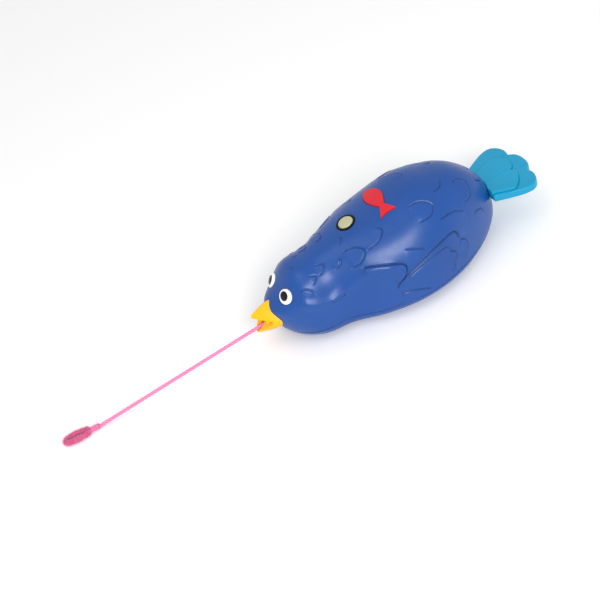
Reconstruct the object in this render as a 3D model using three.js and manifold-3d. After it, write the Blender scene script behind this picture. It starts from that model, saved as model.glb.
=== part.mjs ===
// A hand-held bird toy: a hollow plastic bird with a spring reel inside. A pull cord with a finger
// loop leaves the beak, and a thumb button on the back lifts the brake so that the reel winds it in.
// Millimetres, +Z up. The head points along -Y, the tail along +Y, the bird's left wing is on +X.
// The origin is on the table, under the middle of the bird's length from beak tip to tail tip.

import * as THREE from 'three';
import { mergeVertices } from 'three/addons/utils/BufferGeometryUtils.js';
import Module from 'manifold-3d';

const wasm = await Module();
wasm.setup();

// ---- driving dimensions -------------------------------------------------------------------------

const BODY_LENGTH = 150;
const WALL = 2.2;
const OUTER_STATIONS = 30;
const OUTER_SIDES = 32;
const GAP = 0.3;
const SEAT_GAP = 0.45;
const PARTING_Z = 9;
const BEAK_TIP_Y = -7.2;
const TAIL_TIP_Y = 177.2;
const MID_Y = (BEAK_TIP_Y + TAIL_TIP_Y) / 2;

// Body outline. Each pair is a fraction of the body's length and a swell in mm, which is multiplied
// by a round-ended length profile: the swell of the half width, and of the back above the waterline.
const WIDTH_SWELL = [[0, 28], [0.06, 28.6], [0.15, 30], [0.27, 26.7], [0.4, 33.2],
  [0.55, 37.6], [0.7, 37.8], [0.84, 34.8], [0.94, 32.8], [1, 32.5]];
const BACK_SWELL = [[0, 12], [0.06, 19.5], [0.15, 39.3], [0.27, 40.5], [0.4, 41.7],
  [0.55, 45], [0.7, 52.7], [0.84, 56.3], [0.94, 53.9], [1, 52]];
const WATERLINE_Z = 10.7;
const HEAD_POLE_Z = 25.8;
const RUMP_POLE_Z = 18.4;
const BACK_POWER = 2.3;
const BELLY_POWER = 2.65;
const BELLY_SINK = 1.2;
const CHEST_FRACTION = 0.23;
const RUMP_FRACTION = 0.19;

// The head's front end is blunter than a round end, and less square above the waterline.
const HEAD_BLUNTING = 0.023;
const HEAD_BLUNT_REACH = 0.14;
const HEAD_POWER = 1.6;

// Cord line: straight from the mouth to the table, swung a little to the bird's right.
const MOUTH = new THREE.Vector3(0, -3.3, 16.6);
const CORD_END = new THREE.Vector3(-10.75, -109, 1.2);
const CORD_RADIUS = 1;
const CORD_INSIDE = 23;
const TURN_PITCH = 2.2;

// Finger loop: a crimp, then a narrow drop of cord with a soft sleeve round most of it.
const CRIMP_LENGTH = 5;
const LOOP_CORD_RADIUS = 0.75;
const LOOP_LENGTH = 15;
const LOOP_START = 0.6;
const LOOP_HALF_WIDTH = 2.5;
const LEG_SPACING = 0.95;
const SLEEVE_START = 0.08;
const SLEEVE_RADIUS = 1.6;
const LOOP_Z = 1.75;

// Reel: its axle runs along X, and the cord meets the drum's top at a tangent.
const WIND_RADIUS = 10;
const REEL_Y = 88;
const FLANGE_RADIUS = 15.2;
const FLANGE_THICK = 1.4;
const DRUM_RIGHT_X = 6.3;
const DRUM_LEFT_X = 14.3;
const CUP_RADIUS = 14;
const CUP_WALL = 1.6;
const CUP_MOUTH_X = -6;
const AXLE_RADIUS = 1.5;
const CHEEK_THICK = 1.6;
const CHEEK_RIGHT_X = -9.8;
const CHEEK_LEFT_X = 16.2;

// Thumb button, on the crest of the back.
const BUTTON_Y = 62.2;
const BUTTON_RADIUS = 4.4;
const BUTTON_RISE = 1.3;
const STEM_RADIUS = 1.8;
const STEM_LENGTH = 14;
const COLLAR_INSIDE = BUTTON_RADIUS + GAP;
const COLLAR_OUTSIDE = COLLAR_INSIDE + 0.8;
const COLLAR_FLANGE = COLLAR_OUTSIDE + 1.8;

// Brake lever: it rocks on a pin between the button's stem and the reel.
const LEVER_PIN = { y: 72, z: 36 };
const LEVER_WIDTH = 6;
const BRAKE_SPRING_Y = 77.5;
const PIN_RADIUS = 1.2;

const BADGE_Y = 83;
const BADGE_RISE = 0.7;
const BADGE_POCKET_DEPTH = 0.9;

const EYE_Y = 13.3;
const EYE_TURN = 0.2;
const EYE_ANGLE = 1.03;
const EYE_RADIUS = 4.4;
const PUPIL_RADIUS = 2.7;

// Beak: its corners lie at one height, under a sharp ridge and over a rounder keel.
const BEAK_SIDES = 16;
const BEAK_CORNER_Z = 20.5;
const BEAK_RIDGE_POWER = 1.25;
const BEAK_KEEL_POWER = 1.9;
const SPIGOT_RADIUS = 5.2;

const TAIL_ROOT_Y = 150;
const TAIL_TOP_Z = 29.4;
const TAIL_PITCH = THREE.MathUtils.degToRad(2.5);
const TAIL_THICK = 5.4;
const FEATHER_RISE = 1.3;
const TONGUE_HALF_WIDTH = 6.5;
const TAIL_POST_Y = 142.6;
const TAIL_POST_RADIUS = 2.2;
const LOBE_STEPS = 12;

const SHELL_SCREWS = [[-14, 36], [14, 36], [-23, 116], [23, 116]];
const BRACKET_SCREWS = [[3.2, 65], [3.2, 111]];

// ---- materials ----------------------------------------------------------------------------------

const plastic = (color, roughness) => new THREE.MeshStandardMaterial({ color, roughness, metalness: 0 });
const metal = (color, roughness) => new THREE.MeshStandardMaterial({ color, roughness, metalness: 1 });

const BLUE = plastic(0x2f58a4, 0.35);
const TEAL = plastic(0x069dc4, 0.4);
const YELLOW = plastic(0xf7c721, 0.4);
const WHITE = plastic(0xf4f4f2, 0.3);
const BLACK = plastic(0x111114, 0.3);
const RED = plastic(0xc8283a, 0.4);
const CREAM = plastic(0xc9c8a5, 0.3);
const GREY = plastic(0x8f9499, 0.5);
const PINK_CORD = plastic(0xf09bc3, 0.6);
const PINK_PILE = plastic(0xeb5096, 0.9);
const RUBBER = plastic(0x1d1d1f, 0.85);
const STEEL = metal(0xb9bcc0, 0.3);
const BRASS = metal(0xc9a24a, 0.35);

// ---- geometry helpers ---------------------------------------------------------------------------

// A closed BufferGeometry as a manifold-3d solid.
function solid(geometry) {
  const bare = geometry.index ? geometry.toNonIndexed() : geometry.clone();
  for (const name of Object.keys(bare.attributes)) {
    if (name !== 'position') bare.deleteAttribute(name);
  }
  const merged = mergeVertices(bare, 1e-4);
  const vertProperties = new Float32Array(merged.attributes.position.array);
  const triVerts = new Uint32Array(merged.index.array);
  return new wasm.Manifold(new wasm.Mesh({ numProp: 3, vertProperties, triVerts }));
}

// A manifold-3d solid as a BufferGeometry.
function geometryOf(manifold) {
  const mesh = manifold.getMesh();
  const geometry = new THREE.BufferGeometry();
  geometry.setAttribute('position', new THREE.BufferAttribute(new Float32Array(mesh.vertProperties), 3));
  geometry.setIndex(new THREE.BufferAttribute(new Uint32Array(mesh.triVerts), 1));
  geometry.computeVertexNormals();
  return geometry;
}

// A smooth curve through [place, value] pairs, as a cubic with averaged slopes at the pairs.
function curveThrough(pairs) {
  const slope = (i) => {
    const [x0, v0] = pairs[Math.max(i - 1, 0)];
    const [x1, v1] = pairs[Math.min(i + 1, pairs.length - 1)];
    return (v1 - v0) / (x1 - x0);
  };
  return (x) => {
    let i = 0;
    while (i < pairs.length - 2 && x > pairs[i + 1][0]) i += 1;
    const [x0, v0] = pairs[i];
    const [x1, v1] = pairs[i + 1];
    const step = x1 - x0;
    const t = THREE.MathUtils.clamp((x - x0) / step, 0, 1);
    const t2 = t * t;
    const t3 = t2 * t;
    return (2 * t3 - 3 * t2 + 1) * v0 + (t3 - 2 * t2 + t) * step * slope(i)
      + (3 * t2 - 2 * t3) * v1 + (t3 - t2) * step * slope(i + 1);
  };
}

// A closed skin over rings of equal point count, with a fan at each end.
function skin(rings) {
  const count = rings[0].length;
  const positions = rings.flat().flatMap((p) => [p.x, p.y, p.z]);
  const index = [];
  for (let i = 0; i < rings.length - 1; i += 1) {
    for (let j = 0; j < count; j += 1) {
      const a = i * count + j;
      const b = i * count + ((j + 1) % count);
      index.push(a, a + count, b, b, a + count, b + count);
    }
  }
  const closeEnd = (ring, start, flip) => {
    const centre = ring.reduce((sum, p) => sum.add(p), new THREE.Vector3()).divideScalar(count);
    const hub = positions.length / 3;
    positions.push(centre.x, centre.y, centre.z);
    for (let j = 0; j < count; j += 1) {
      const a = start + j;
      const b = start + ((j + 1) % count);
      index.push(hub, flip ? b : a, flip ? a : b);
    }
  };
  closeEnd(rings[0], 0, false);
  closeEnd(rings[rings.length - 1], (rings.length - 1) * count, true);
  const geometry = new THREE.BufferGeometry();
  geometry.setAttribute('position', new THREE.Float32BufferAttribute(positions, 3));
  geometry.setIndex(index);
  return geometry;
}

function box(x0, x1, y0, y1, z0, z1) {
  const geometry = new THREE.BoxGeometry(x1 - x0, y1 - y0, z1 - z0);
  geometry.translate((x0 + x1) / 2, (y0 + y1) / 2, (z0 + z1) / 2);
  return solid(geometry);
}

// An upright round bar between two heights.
function post(x, y, z0, z1, radius, sides = 14) {
  const geometry = new THREE.CylinderGeometry(radius, radius, z1 - z0, sides);
  geometry.rotateX(Math.PI / 2);
  geometry.translate(x, y, (z0 + z1) / 2);
  return solid(geometry);
}

// A round bar along X.
function barX(x0, x1, y, z, radius, sides = 16) {
  const geometry = new THREE.CylinderGeometry(radius, radius, x1 - x0, sides);
  geometry.rotateZ(Math.PI / 2);
  geometry.translate((x0 + x1) / 2, y, z);
  return solid(geometry);
}

// A flat plate: an outline in the YZ plane, given as [y, z] pairs, between two X values.
function plateX(outline, x0, x1) {
  const shape = new THREE.Shape(outline.map(([y, z]) => new THREE.Vector2(y, z)));
  const geometry = new THREE.ExtrudeGeometry(shape, { depth: x1 - x0, bevelEnabled: false });
  geometry.applyMatrix4(new THREE.Matrix4().makeBasis(
    new THREE.Vector3(0, 1, 0), new THREE.Vector3(0, 0, 1), new THREE.Vector3(1, 0, 0)));
  geometry.translate(x0, 0, 0);
  return solid(geometry);
}

// A turned piece: [radius, height] pairs around a line from a point in a direction. The pairs run
// from axis to axis, or close on the first one.
function turned(profile, from, direction, sides = 18) {
  const points = profile.map(([r, h]) => new THREE.Vector2(r, h));
  if (THREE.ShapeUtils.area(points) < 0) points.reverse();
  const geometry = new THREE.LatheGeometry(points, sides);
  const turn = new THREE.Quaternion().setFromUnitVectors(new THREE.Vector3(0, 1, 0), direction);
  geometry.applyQuaternion(turn);
  geometry.translate(from.x, from.y, from.z);
  return solid(geometry);
}

// A round tube of solid section along a curve.
function rod(path, radius, sides, steps) {
  const shape = new THREE.Shape();
  for (let k = 0; k < sides; k += 1) {
    const angle = (2 * Math.PI * k) / sides;
    const x = radius * Math.cos(angle);
    const y = radius * Math.sin(angle);
    if (k === 0) shape.moveTo(x, y);
    else shape.lineTo(x, y);
  }
  return new THREE.ExtrudeGeometry(shape, { steps, extrudePath: path, bevelEnabled: false });
}

function helix(centre, direction, radius, length, turns) {
  const turn = new THREE.Quaternion().setFromUnitVectors(new THREE.Vector3(0, 0, 1), direction);
  const points = [];
  const perTurn = 8;
  for (let k = 0; k <= turns * perTurn; k += 1) {
    const angle = (2 * Math.PI * k) / perTurn;
    const local = new THREE.Vector3(radius * Math.cos(angle), radius * Math.sin(angle),
      (length * k) / (turns * perTurn));
    points.push(local.applyQuaternion(turn).add(centre));
  }
  return new THREE.CatmullRomCurve3(points);
}

// ---- the body's surface -------------------------------------------------------------------------

const widthSwell = curveThrough(WIDTH_SWELL);
const backSwell = curveThrough(BACK_SWELL);
const smooth = (x, from, to) => THREE.MathUtils.smoothstep(x, from, to);

const nearHead = (s) => Math.max(0, 1 - s / HEAD_BLUNT_REACH) ** 2;

// The place where the blunted head's round profile reaches zero.
const bluntShare = HEAD_BLUNTING / HEAD_BLUNT_REACH;
const HEAD_Y = (BODY_LENGTH * HEAD_BLUNT_REACH * (1 + 2 * bluntShare - Math.sqrt(1 + 4 * bluntShare)))
  / (2 * bluntShare);

// Half width, waterline, back and belly heights at a place along the body, and how square it is
// above the waterline.
function station(y) {
  const s = THREE.MathUtils.clamp(y / BODY_LENGTH, 0, 1);
  const blunted = THREE.MathUtils.clamp(s - HEAD_BLUNTING * nearHead(s), 0, 1);
  const round = Math.sqrt(4 * blunted * (1 - blunted));
  const waterline = HEAD_POLE_Z + (WATERLINE_Z - HEAD_POLE_Z) * smooth(s, 0, 0.25)
    + (RUMP_POLE_Z - WATERLINE_Z) * smooth(s, 0.75, 1);
  const chest = THREE.MathUtils.clamp(1 - blunted / CHEST_FRACTION, 0, 1);
  const rump = THREE.MathUtils.clamp(1 - (1 - s) / RUMP_FRACTION, 0, 1);
  const lift = 2 - Math.sqrt(1 - chest * chest) - Math.sqrt(1 - rump * rump);
  return {
    halfWidth: widthSwell(s) * round,
    waterline,
    back: waterline + backSwell(s) * round,
    belly: -BELLY_SINK + (waterline + BELLY_SINK) * lift,
    backPower: BACK_POWER + (HEAD_POWER - BACK_POWER) * nearHead(s),
  };
}

// A point of the body's surface, grown outwards by a distance. Angle 0 is the left waterline,
// a quarter turn is the crest of the back.
function surfacePoint(y, angle, grow = 0) {
  const { halfWidth, waterline, back, belly, backPower } = station(y);
  const above = Math.sin(angle) >= 0;
  const power = 2 / (above ? backPower : BELLY_POWER);
  const across = Math.sign(Math.cos(angle)) * Math.abs(Math.cos(angle)) ** power;
  const along = Math.abs(Math.sin(angle)) ** power;
  const reach = (size) => Math.max(size + grow, 0.01);
  const z = waterline + along * (above ? reach(back - waterline) : -reach(waterline - belly));
  return new THREE.Vector3(across * reach(halfWidth), y, Math.max(z, -grow));
}

function surfaceNormal(y, angle) {
  const alongBody = surfacePoint(y + 0.3, angle).sub(surfacePoint(y - 0.3, angle));
  const aroundBody = surfacePoint(y, angle + 0.02).sub(surfacePoint(y, angle - 0.02));
  return aroundBody.cross(alongBody).normalize().negate();
}

function bodySolid(grow, stations, around) {
  const rings = [];
  for (let i = 0; i <= stations; i += 1) {
    const lean = Math.cos((Math.PI * i) / stations);
    const y = HEAD_Y + ((BODY_LENGTH - HEAD_Y) * (1 - lean)) / 2;
    const ring = [];
    for (let j = 0; j < around; j += 1) {
      ring.push(surfacePoint(y, (2 * Math.PI * j) / around, grow).setY(y - grow * lean));
    }
    rings.push(ring);
  }
  return solid(skin(rings));
}

const outer = bodySolid(0, OUTER_STATIONS, OUTER_SIDES);
const grown = bodySolid(SEAT_GAP, OUTER_STATIONS, OUTER_SIDES);
const inner = bodySolid(-WALL, 14, 20);
const aboveParting = box(-60, 60, -30, 200, PARTING_Z + GAP / 2, 90);
const belowParting = box(-60, 60, -30, 200, -10, PARTING_Z - GAP / 2);

// ---- lines worked out from the driving dimensions ------------------------------------------------

const cordOut = CORD_END.clone().sub(MOUTH).normalize();
const cordIn = cordOut.clone().negate();
const cordAt = (distance) => MOUTH.clone().addScaledVector(cordOut, distance);

// The reel's centre lies one winding radius under the cord line, square to it.
const acrossCord = new THREE.Vector3(0, cordIn.z, -cordIn.y).normalize();
const tangentY = REEL_Y - WIND_RADIUS * acrossCord.y;
const tangent = cordAt(-(tangentY - MOUTH.y) / cordIn.y);
const reelZ = tangent.z + WIND_RADIUS * acrossCord.z;

const alongX = new THREE.Vector3(1, 0, 0);
const up = new THREE.Vector3(0, 0, 1);

const buttonSeat = surfacePoint(BUTTON_Y, Math.PI / 2);
const buttonOut = surfaceNormal(BUTTON_Y, Math.PI / 2);

const bird = new THREE.Group();
bird.position.y = -MID_Y;

function place(name, shape, material) {
  const geometry = shape.isBufferGeometry ? shape : geometryOf(shape);
  const mesh = new THREE.Mesh(geometry, material);
  mesh.name = name;
  bird.add(mesh);
}

// ---- badge outline: a plain fish lying across the back --------------------------------------------

function fishOutline(grow) {
  const length = 27 + 2 * grow;
  const height = 12 + 2 * grow;
  const shape = new THREE.Shape();
  shape.moveTo(-length / 2, 0);
  shape.quadraticCurveTo(-length * 0.2, height * 0.78, length * 0.24, height * 0.12);
  shape.lineTo(length / 2, height * 0.42);
  shape.quadraticCurveTo(length * 0.42, 0, length / 2, -height * 0.42);
  shape.lineTo(length * 0.24, -height * 0.12);
  shape.quadraticCurveTo(-length * 0.2, -height * 0.78, -length / 2, 0);
  const geometry = new THREE.ExtrudeGeometry(shape, { depth: 30, bevelEnabled: false, curveSegments: 8 });
  geometry.translate(0, BADGE_Y, 40);
  return solid(geometry);
}


// ---- shells ---------------------------------------------------------------------------------------

// Each eye's axis is square to the head, turned forward a little.
const eyes = [['left', 1], ['right', -1]].map(([side, sign]) => {
  const seat = surfacePoint(EYE_Y, EYE_ANGLE);
  const out = surfaceNormal(EYE_Y, EYE_ANGLE);
  out.y -= EYE_TURN;
  out.normalize();
  seat.x *= sign;
  out.x *= sign;
  return { side, seat, out };
});

const beakHoleRadius = SPIGOT_RADIUS + GAP;
const beakHole = turned([[0, -4], [beakHoleRadius, -4], [beakHoleRadius, 16], [0, 16]], MOUTH, cordIn);
const tailPostRoom = post(0, TAIL_POST_Y, PARTING_Z - 1, 18, TAIL_POST_RADIUS + GAP);
const tailSlot = box(-TONGUE_HALF_WIDTH - GAP, TONGUE_HALF_WIDTH + GAP, 138, 152,
  TAIL_TOP_Z - 5.3, TAIL_TOP_Z - 1);

function upperShell() {
  let shell = outer.subtract(inner);
  for (const [x, y] of SHELL_SCREWS) shell = shell.add(post(x, y, PARTING_Z, 70, 3.6).intersect(outer));
  shell = shell.add(post(0, BRAKE_SPRING_Y, 48, 70, 1.3).intersect(outer));
  shell = shell.intersect(aboveParting);
  for (const [x, y] of SHELL_SCREWS) shell = shell.subtract(post(x, y, PARTING_Z - 1, 31, 1.6));
  const buttonHole = COLLAR_OUTSIDE + GAP;
  const buttonRoom = [[0, -12], [buttonHole, -12], [buttonHole, 6], [0, 6]];
  shell = shell.subtract(turned(buttonRoom, buttonSeat, buttonOut));
  for (const { seat, out } of eyes) {
    const eyeHole = EYE_RADIUS + GAP;
    shell = shell.subtract(turned([[0, -1.5], [eyeHole, -1.5], [eyeHole, 4], [0, 4]], seat, out));
  }
  const pocketFloor = bodySolid(-BADGE_POCKET_DEPTH, OUTER_STATIONS, OUTER_SIDES);
  shell = shell.subtract(fishOutline(GAP).subtract(pocketFloor));
  return shell.subtract(beakHole).subtract(tailSlot).subtract(tailPostRoom);
}

function lowerShell() {
  let shell = outer.subtract(inner);
  for (const [x, y] of SHELL_SCREWS) shell = shell.add(post(x, y, 0.5, 30, 4.6).intersect(outer));
  for (const [x, y] of BRACKET_SCREWS) shell = shell.add(post(x, y, 1, 5.6, 3.6));
  shell = shell.intersect(belowParting);
  shell = shell.add(post(0, TAIL_POST_Y, 4, TAIL_TOP_Z - 1.4, TAIL_POST_RADIUS).intersect(outer));
  for (const [x, y] of SHELL_SCREWS) {
    shell = shell.subtract(post(x, y, -1, 6.2, 3.2)).subtract(post(x, y, 5, 22, 1.8));
  }
  for (const [x, y] of BRACKET_SCREWS) shell = shell.subtract(post(x, y, 1.6, 8, 1.3));
  return shell.subtract(beakHole);
}

place('upper_shell', upperShell(), BLUE);
place('lower_shell', lowerShell(), BLUE);

for (const [i, [x, y]] of SHELL_SCREWS.entries()) {
  const screw = turned([[0, 0], [2.8, 0], [2.8, 1.6], [1.35, 3], [1.35, 23], [0, 25]],
    new THREE.Vector3(x, y, 3), up, 16);
  const across = box(x - 2, x + 2, y - 0.35, y + 0.35, 2, 3.8);
  const along = box(x - 0.35, x + 0.35, y - 2, y + 2, 2, 3.8);
  place(`shell_screw_${i + 1}`, screw.subtract(across).subtract(along), STEEL);
}

// ---- face -----------------------------------------------------------------------------------------

for (const { side, seat, out } of eyes) {
  const white = [[0, -1.1], [EYE_RADIUS, -1.1], [EYE_RADIUS, 0.5], [EYE_RADIUS - 0.5, 1], [0, 1.2]];
  const gaze = new THREE.Vector3(0, -0.65, 0.94);
  gaze.addScaledVector(out, -gaze.dot(out));
  const middle = seat.clone().add(gaze);
  const hole = turned([[0, 0.4], [PUPIL_RADIUS + 0.15, 0.4], [PUPIL_RADIUS + 0.15, 3], [0, 3]], middle, out);
  const pupil = turned([[0, 0.7], [PUPIL_RADIUS, 0.7], [PUPIL_RADIUS, 1.25], [0, 1.6]], middle, out);
  place(`eye_white_${side}`, turned(white, seat, out).subtract(hole), WHITE);
  place(`eye_pupil_${side}`, pupil, BLACK);
}


// The beak is one hard piece: upper and lower halves open in front of a round spigot for the cord.
function beak() {
  // [y, half width, top, bottom]
  const stations = [[9, 9.8, 30.4, 12], [4.6, 9.6, 30.2, 12.2], [0, 7.9, 29.4, 12.4],
    [-3.6, 5.2, 28.3, 12.6], [-6, 3, 27.4, 13], [BEAK_TIP_Y, 1.5, 26.7, 13.8]];
  const rings = stations.map(([y, halfWidth, top, bottom]) => {
    const ring = [];
    for (let k = 0; k < BEAK_SIDES; k += 1) {
      const angle = (2 * Math.PI * k) / BEAK_SIDES;
      const above = Math.sin(angle) >= 0;
      const power = 2 / (above ? BEAK_RIDGE_POWER : BEAK_KEEL_POWER);
      const across = Math.sign(Math.cos(angle)) * Math.abs(Math.cos(angle)) ** power;
      const along = Math.abs(Math.sin(angle)) ** power;
      const reach = (above ? top : bottom) - BEAK_CORNER_Z;
      ring.push(new THREE.Vector3(halfWidth * across, y, BEAK_CORNER_Z + along * reach));
    }
    return ring;
  });
  const cone = solid(skin(rings.reverse()));
  const gape = plateX([[1.4, 21.9], [1.4, 20.6], [-14, 10.4], [-14, 27.5]].reverse(), -20, 20);
  const spigot = turned([[0, 3], [SPIGOT_RADIUS, 3], [SPIGOT_RADIUS, 13.5], [0, 13.5]], MOUTH, cordIn);
  const bore = turned([[0, -10], [2, -10], [2, 20], [0, 20]], MOUTH, cordIn);
  const eyeletSeat = turned([[0, 11.5], [3.6, 11.5], [3.6, 20], [0, 20]], MOUTH, cordIn);
  return cone.subtract(gape).subtract(grown).add(spigot).subtract(bore).subtract(eyeletSeat);
}

place('beak', beak(), YELLOW);
place('cord_eyelet', turned([[1.35, 11.8], [3.3, 11.8], [3.3, 14.2], [1.35, 14.2], [1.35, 11.8]],
  MOUTH, cordIn), BRASS);

// ---- tail -----------------------------------------------------------------------------------------

// The layers' outlines, as [x, y] pairs from the root: each list is one run that a smooth curve
// follows, and the runs meet in the notches between the lobes. The lower layer's is its left half.
const LOWER_RUNS = [
  [[15, 146], [17.5, 150.5], [20.5, 156.5], [22.8, 162], [23.3, 167.6], [20.2, 171.7], [15, 173.6],
    [9.6, 172.9]],
  [[9.6, 172.9], [6.8, 175.8], [3.2, 177], [0, TAIL_TIP_Y]],
];
const UPPER_RUNS = [
  [[12.6, 146], [16.2, 152.5], [18.8, 158], [17.1, 161.2], [14.1, 164], [10.9, 166], [7.2, 166.9],
    [3.8, 165.3]],
  [[3.8, 165.3], [2, 167.8], [-1.8, 169.1], [-5.6, 169], [-9.6, 167.6], [-12, 165], [-12.7, 162.2],
    [-11.8, 158], [-10.6, 154.5], [-9, 150.5], [-7.5, 146]],
];

function smoothRuns(runs) {
  return runs.flatMap((run) => {
    const points = run.map(([x, y]) => new THREE.Vector3(x, y, 0));
    const curve = new THREE.CatmullRomCurve3(points, false, 'centripetal');
    return curve.getPoints(LOBE_STEPS).slice(0, -1).map((p) => [p.x, p.y]);
  });
}

// One layer of the tail: an outline raised between two heights.
function featherLayer(outline, bottomZ, topZ) {
  const shape = new THREE.Shape(outline.map(([x, y]) => new THREE.Vector2(x, y)));
  const geometry = new THREE.ExtrudeGeometry(shape, { depth: topZ - bottomZ, bevelEnabled: false });
  geometry.translate(0, 0, bottomZ);
  return solid(geometry);
}

function tail() {
  const top = TAIL_TOP_Z - FEATHER_RISE;
  const bottom = TAIL_TOP_Z - TAIL_THICK;
  const half = smoothRuns(LOWER_RUNS);
  const mirrored = half.map(([x, y]) => [-x, y]).reverse();
  const lower = featherLayer([...half, [0, TAIL_TIP_Y], ...mirrored], bottom, top);
  const upper = featherLayer([...smoothRuns(UPPER_RUNS), UPPER_RUNS.at(-1).at(-1)], bottom + 0.4, TAIL_TOP_Z);
  const fan = lower.add(upper);
  const tongue = box(-TONGUE_HALF_WIDTH, TONGUE_HALF_WIDTH, 139, 156,
    TAIL_TOP_Z - 5, TAIL_TOP_Z - FEATHER_RISE);
  const pitch = new THREE.Matrix4().makeRotationX(TAIL_PITCH);
  const geometry = geometryOf(fan);
  geometry.translate(0, -TAIL_ROOT_Y, -TAIL_TOP_Z);
  geometry.applyMatrix4(pitch);
  geometry.translate(0, TAIL_ROOT_Y, TAIL_TOP_Z);
  const postHole = post(0, TAIL_POST_Y, 10, 40, TAIL_POST_RADIUS + GAP);
  return solid(geometry).subtract(grown).add(tongue).subtract(postHole);
}

place('tail', tail(), TEAL);

// ---- badge and button -----------------------------------------------------------------------------

function badge() {
  const top = bodySolid(BADGE_RISE, OUTER_STATIONS, OUTER_SIDES);
  const bottom = bodySolid(GAP - BADGE_POCKET_DEPTH, OUTER_STATIONS, OUTER_SIDES);
  return fishOutline(0).intersect(top).subtract(bottom);
}

place('back_badge', badge(), RED);

const dome = [];
for (let k = 0; k <= 4; k += 1) {
  const angle = (Math.PI / 2) * (k / 4);
  dome.push([BUTTON_RADIUS * Math.cos(angle), BUTTON_RISE - 1.2 + 1.2 * Math.sin(angle)]);
}
place('button_cap', turned([[0, -STEM_LENGTH], [STEM_RADIUS, -STEM_LENGTH], [STEM_RADIUS, -1.8],
  [BUTTON_RADIUS, -1.8], ...dome.slice(0, -1), [0, BUTTON_RISE]], buttonSeat, buttonOut), CREAM);
place('button_collar', turned([[COLLAR_INSIDE, 0.4], [COLLAR_OUTSIDE, 0.4], [COLLAR_OUTSIDE, -4],
  [COLLAR_FLANGE, -4], [COLLAR_FLANGE, -5], [COLLAR_OUTSIDE, -5], [COLLAR_OUTSIDE, -9], [2.1, -9], [2.1, -8],
  [COLLAR_INSIDE, -8], [COLLAR_INSIDE, 0.4]], buttonSeat, buttonOut), BLACK);
const springFoot = buttonSeat.clone().addScaledVector(buttonOut, -7.3);
place('button_spring', rod(helix(springFoot, buttonOut, 3.2, 4.6, 3), 0.35, 5, 24), STEEL);

// ---- reel -----------------------------------------------------------------------------------------

const reelCentre = new THREE.Vector3(0, REEL_Y, reelZ);
const drumRadius = WIND_RADIUS - CORD_RADIUS - GAP;
const cupWebX = DRUM_RIGHT_X - FLANGE_THICK;

place('cord_reel', turned([
  [AXLE_RADIUS + 0.2, cupWebX], [CUP_RADIUS - CUP_WALL, cupWebX], [CUP_RADIUS - CUP_WALL, CUP_MOUTH_X],
  [CUP_RADIUS, CUP_MOUTH_X], [CUP_RADIUS, cupWebX], [FLANGE_RADIUS, cupWebX], [FLANGE_RADIUS, DRUM_RIGHT_X],
  [drumRadius, DRUM_RIGHT_X], [drumRadius, DRUM_LEFT_X], [FLANGE_RADIUS, DRUM_LEFT_X],
  [FLANGE_RADIUS, DRUM_LEFT_X + FLANGE_THICK], [AXLE_RADIUS + 0.2, DRUM_LEFT_X + FLANGE_THICK],
  [AXLE_RADIUS + 0.2, cupWebX]], reelCentre, alongX, 24), GREY);

place('spring_cover', turned([[AXLE_RADIUS + 0.2, CUP_MOUTH_X - 1.4], [CUP_RADIUS, CUP_MOUTH_X - 1.4],
  [CUP_RADIUS, CUP_MOUTH_X - GAP], [AXLE_RADIUS + 0.2, CUP_MOUTH_X - GAP], [AXLE_RADIUS + 0.2, CUP_MOUTH_X - 1.4]],
reelCentre, alongX, 24), GREY);

// The power spring is a flat strip wound in a spiral from the axle to the cup's wall.
function powerSpring() {
  const turns = 4;
  const strip = 0.5;
  const innerRadius = 2.6;
  const outerRadius = CUP_RADIUS - CUP_WALL - 0.6;
  const steps = turns * 16;
  const edge = (shift) => Array.from({ length: steps + 1 }, (_, k) => {
    const angle = (2 * Math.PI * turns * k) / steps;
    const radius = innerRadius + ((outerRadius - innerRadius) * k) / steps + shift;
    return [REEL_Y + radius * Math.cos(angle), reelZ + radius * Math.sin(angle)];
  });
  return plateX([...edge(0), ...edge(strip).reverse()].reverse(), CUP_MOUTH_X + 1.2, cupWebX - 0.6);
}

place('power_spring', powerSpring(), STEEL);

const axleHeadX = CHEEK_RIGHT_X - GAP - 1.4;
place('reel_axle', turned([[0, axleHeadX], [3, axleHeadX], [3, axleHeadX + 1.4],
  [AXLE_RADIUS, axleHeadX + 1.4], [AXLE_RADIUS, 19.8], [0, 19.8]], reelCentre, alongX), STEEL);
place('axle_clip', turned([[AXLE_RADIUS + 0.1, 18.1], [3.2, 18.1], [3.2, 18.8], [AXLE_RADIUS + 0.1, 18.8],
  [AXLE_RADIUS + 0.1, 18.1]], reelCentre, alongX)
  .subtract(box(10, 25, REEL_Y - 1, REEL_Y + 1, reelZ - 6, reelZ)), STEEL);

// The bracket: a plate with a window for the reel, and a cheek on each side of it.
function reelBracket() {
  const window = box(CHEEK_RIGHT_X + CHEEK_THICK, CHEEK_LEFT_X, 69, 107, 5, 9);
  const plate = box(-10.4, 18.2, 60.5, 115, 5.9, 7.4).subtract(window);
  const cheek = [[66, 6], [108, 6], [96, 28], [77, 40], [68, 40]];
  let bracket = plate.add(plateX(cheek, CHEEK_RIGHT_X, CHEEK_RIGHT_X + CHEEK_THICK))
    .add(plateX(cheek, CHEEK_LEFT_X, CHEEK_LEFT_X + CHEEK_THICK));
  bracket = bracket.subtract(barX(-20, 30, REEL_Y, reelZ, AXLE_RADIUS + 0.15));
  bracket = bracket.subtract(barX(-20, 30, LEVER_PIN.y, LEVER_PIN.z, PIN_RADIUS + 0.15));
  for (const [x, y] of BRACKET_SCREWS) bracket = bracket.subtract(post(x, y, 4, 9, 1.6));
  return bracket;
}

place('reel_bracket', reelBracket(), GREY);

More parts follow.
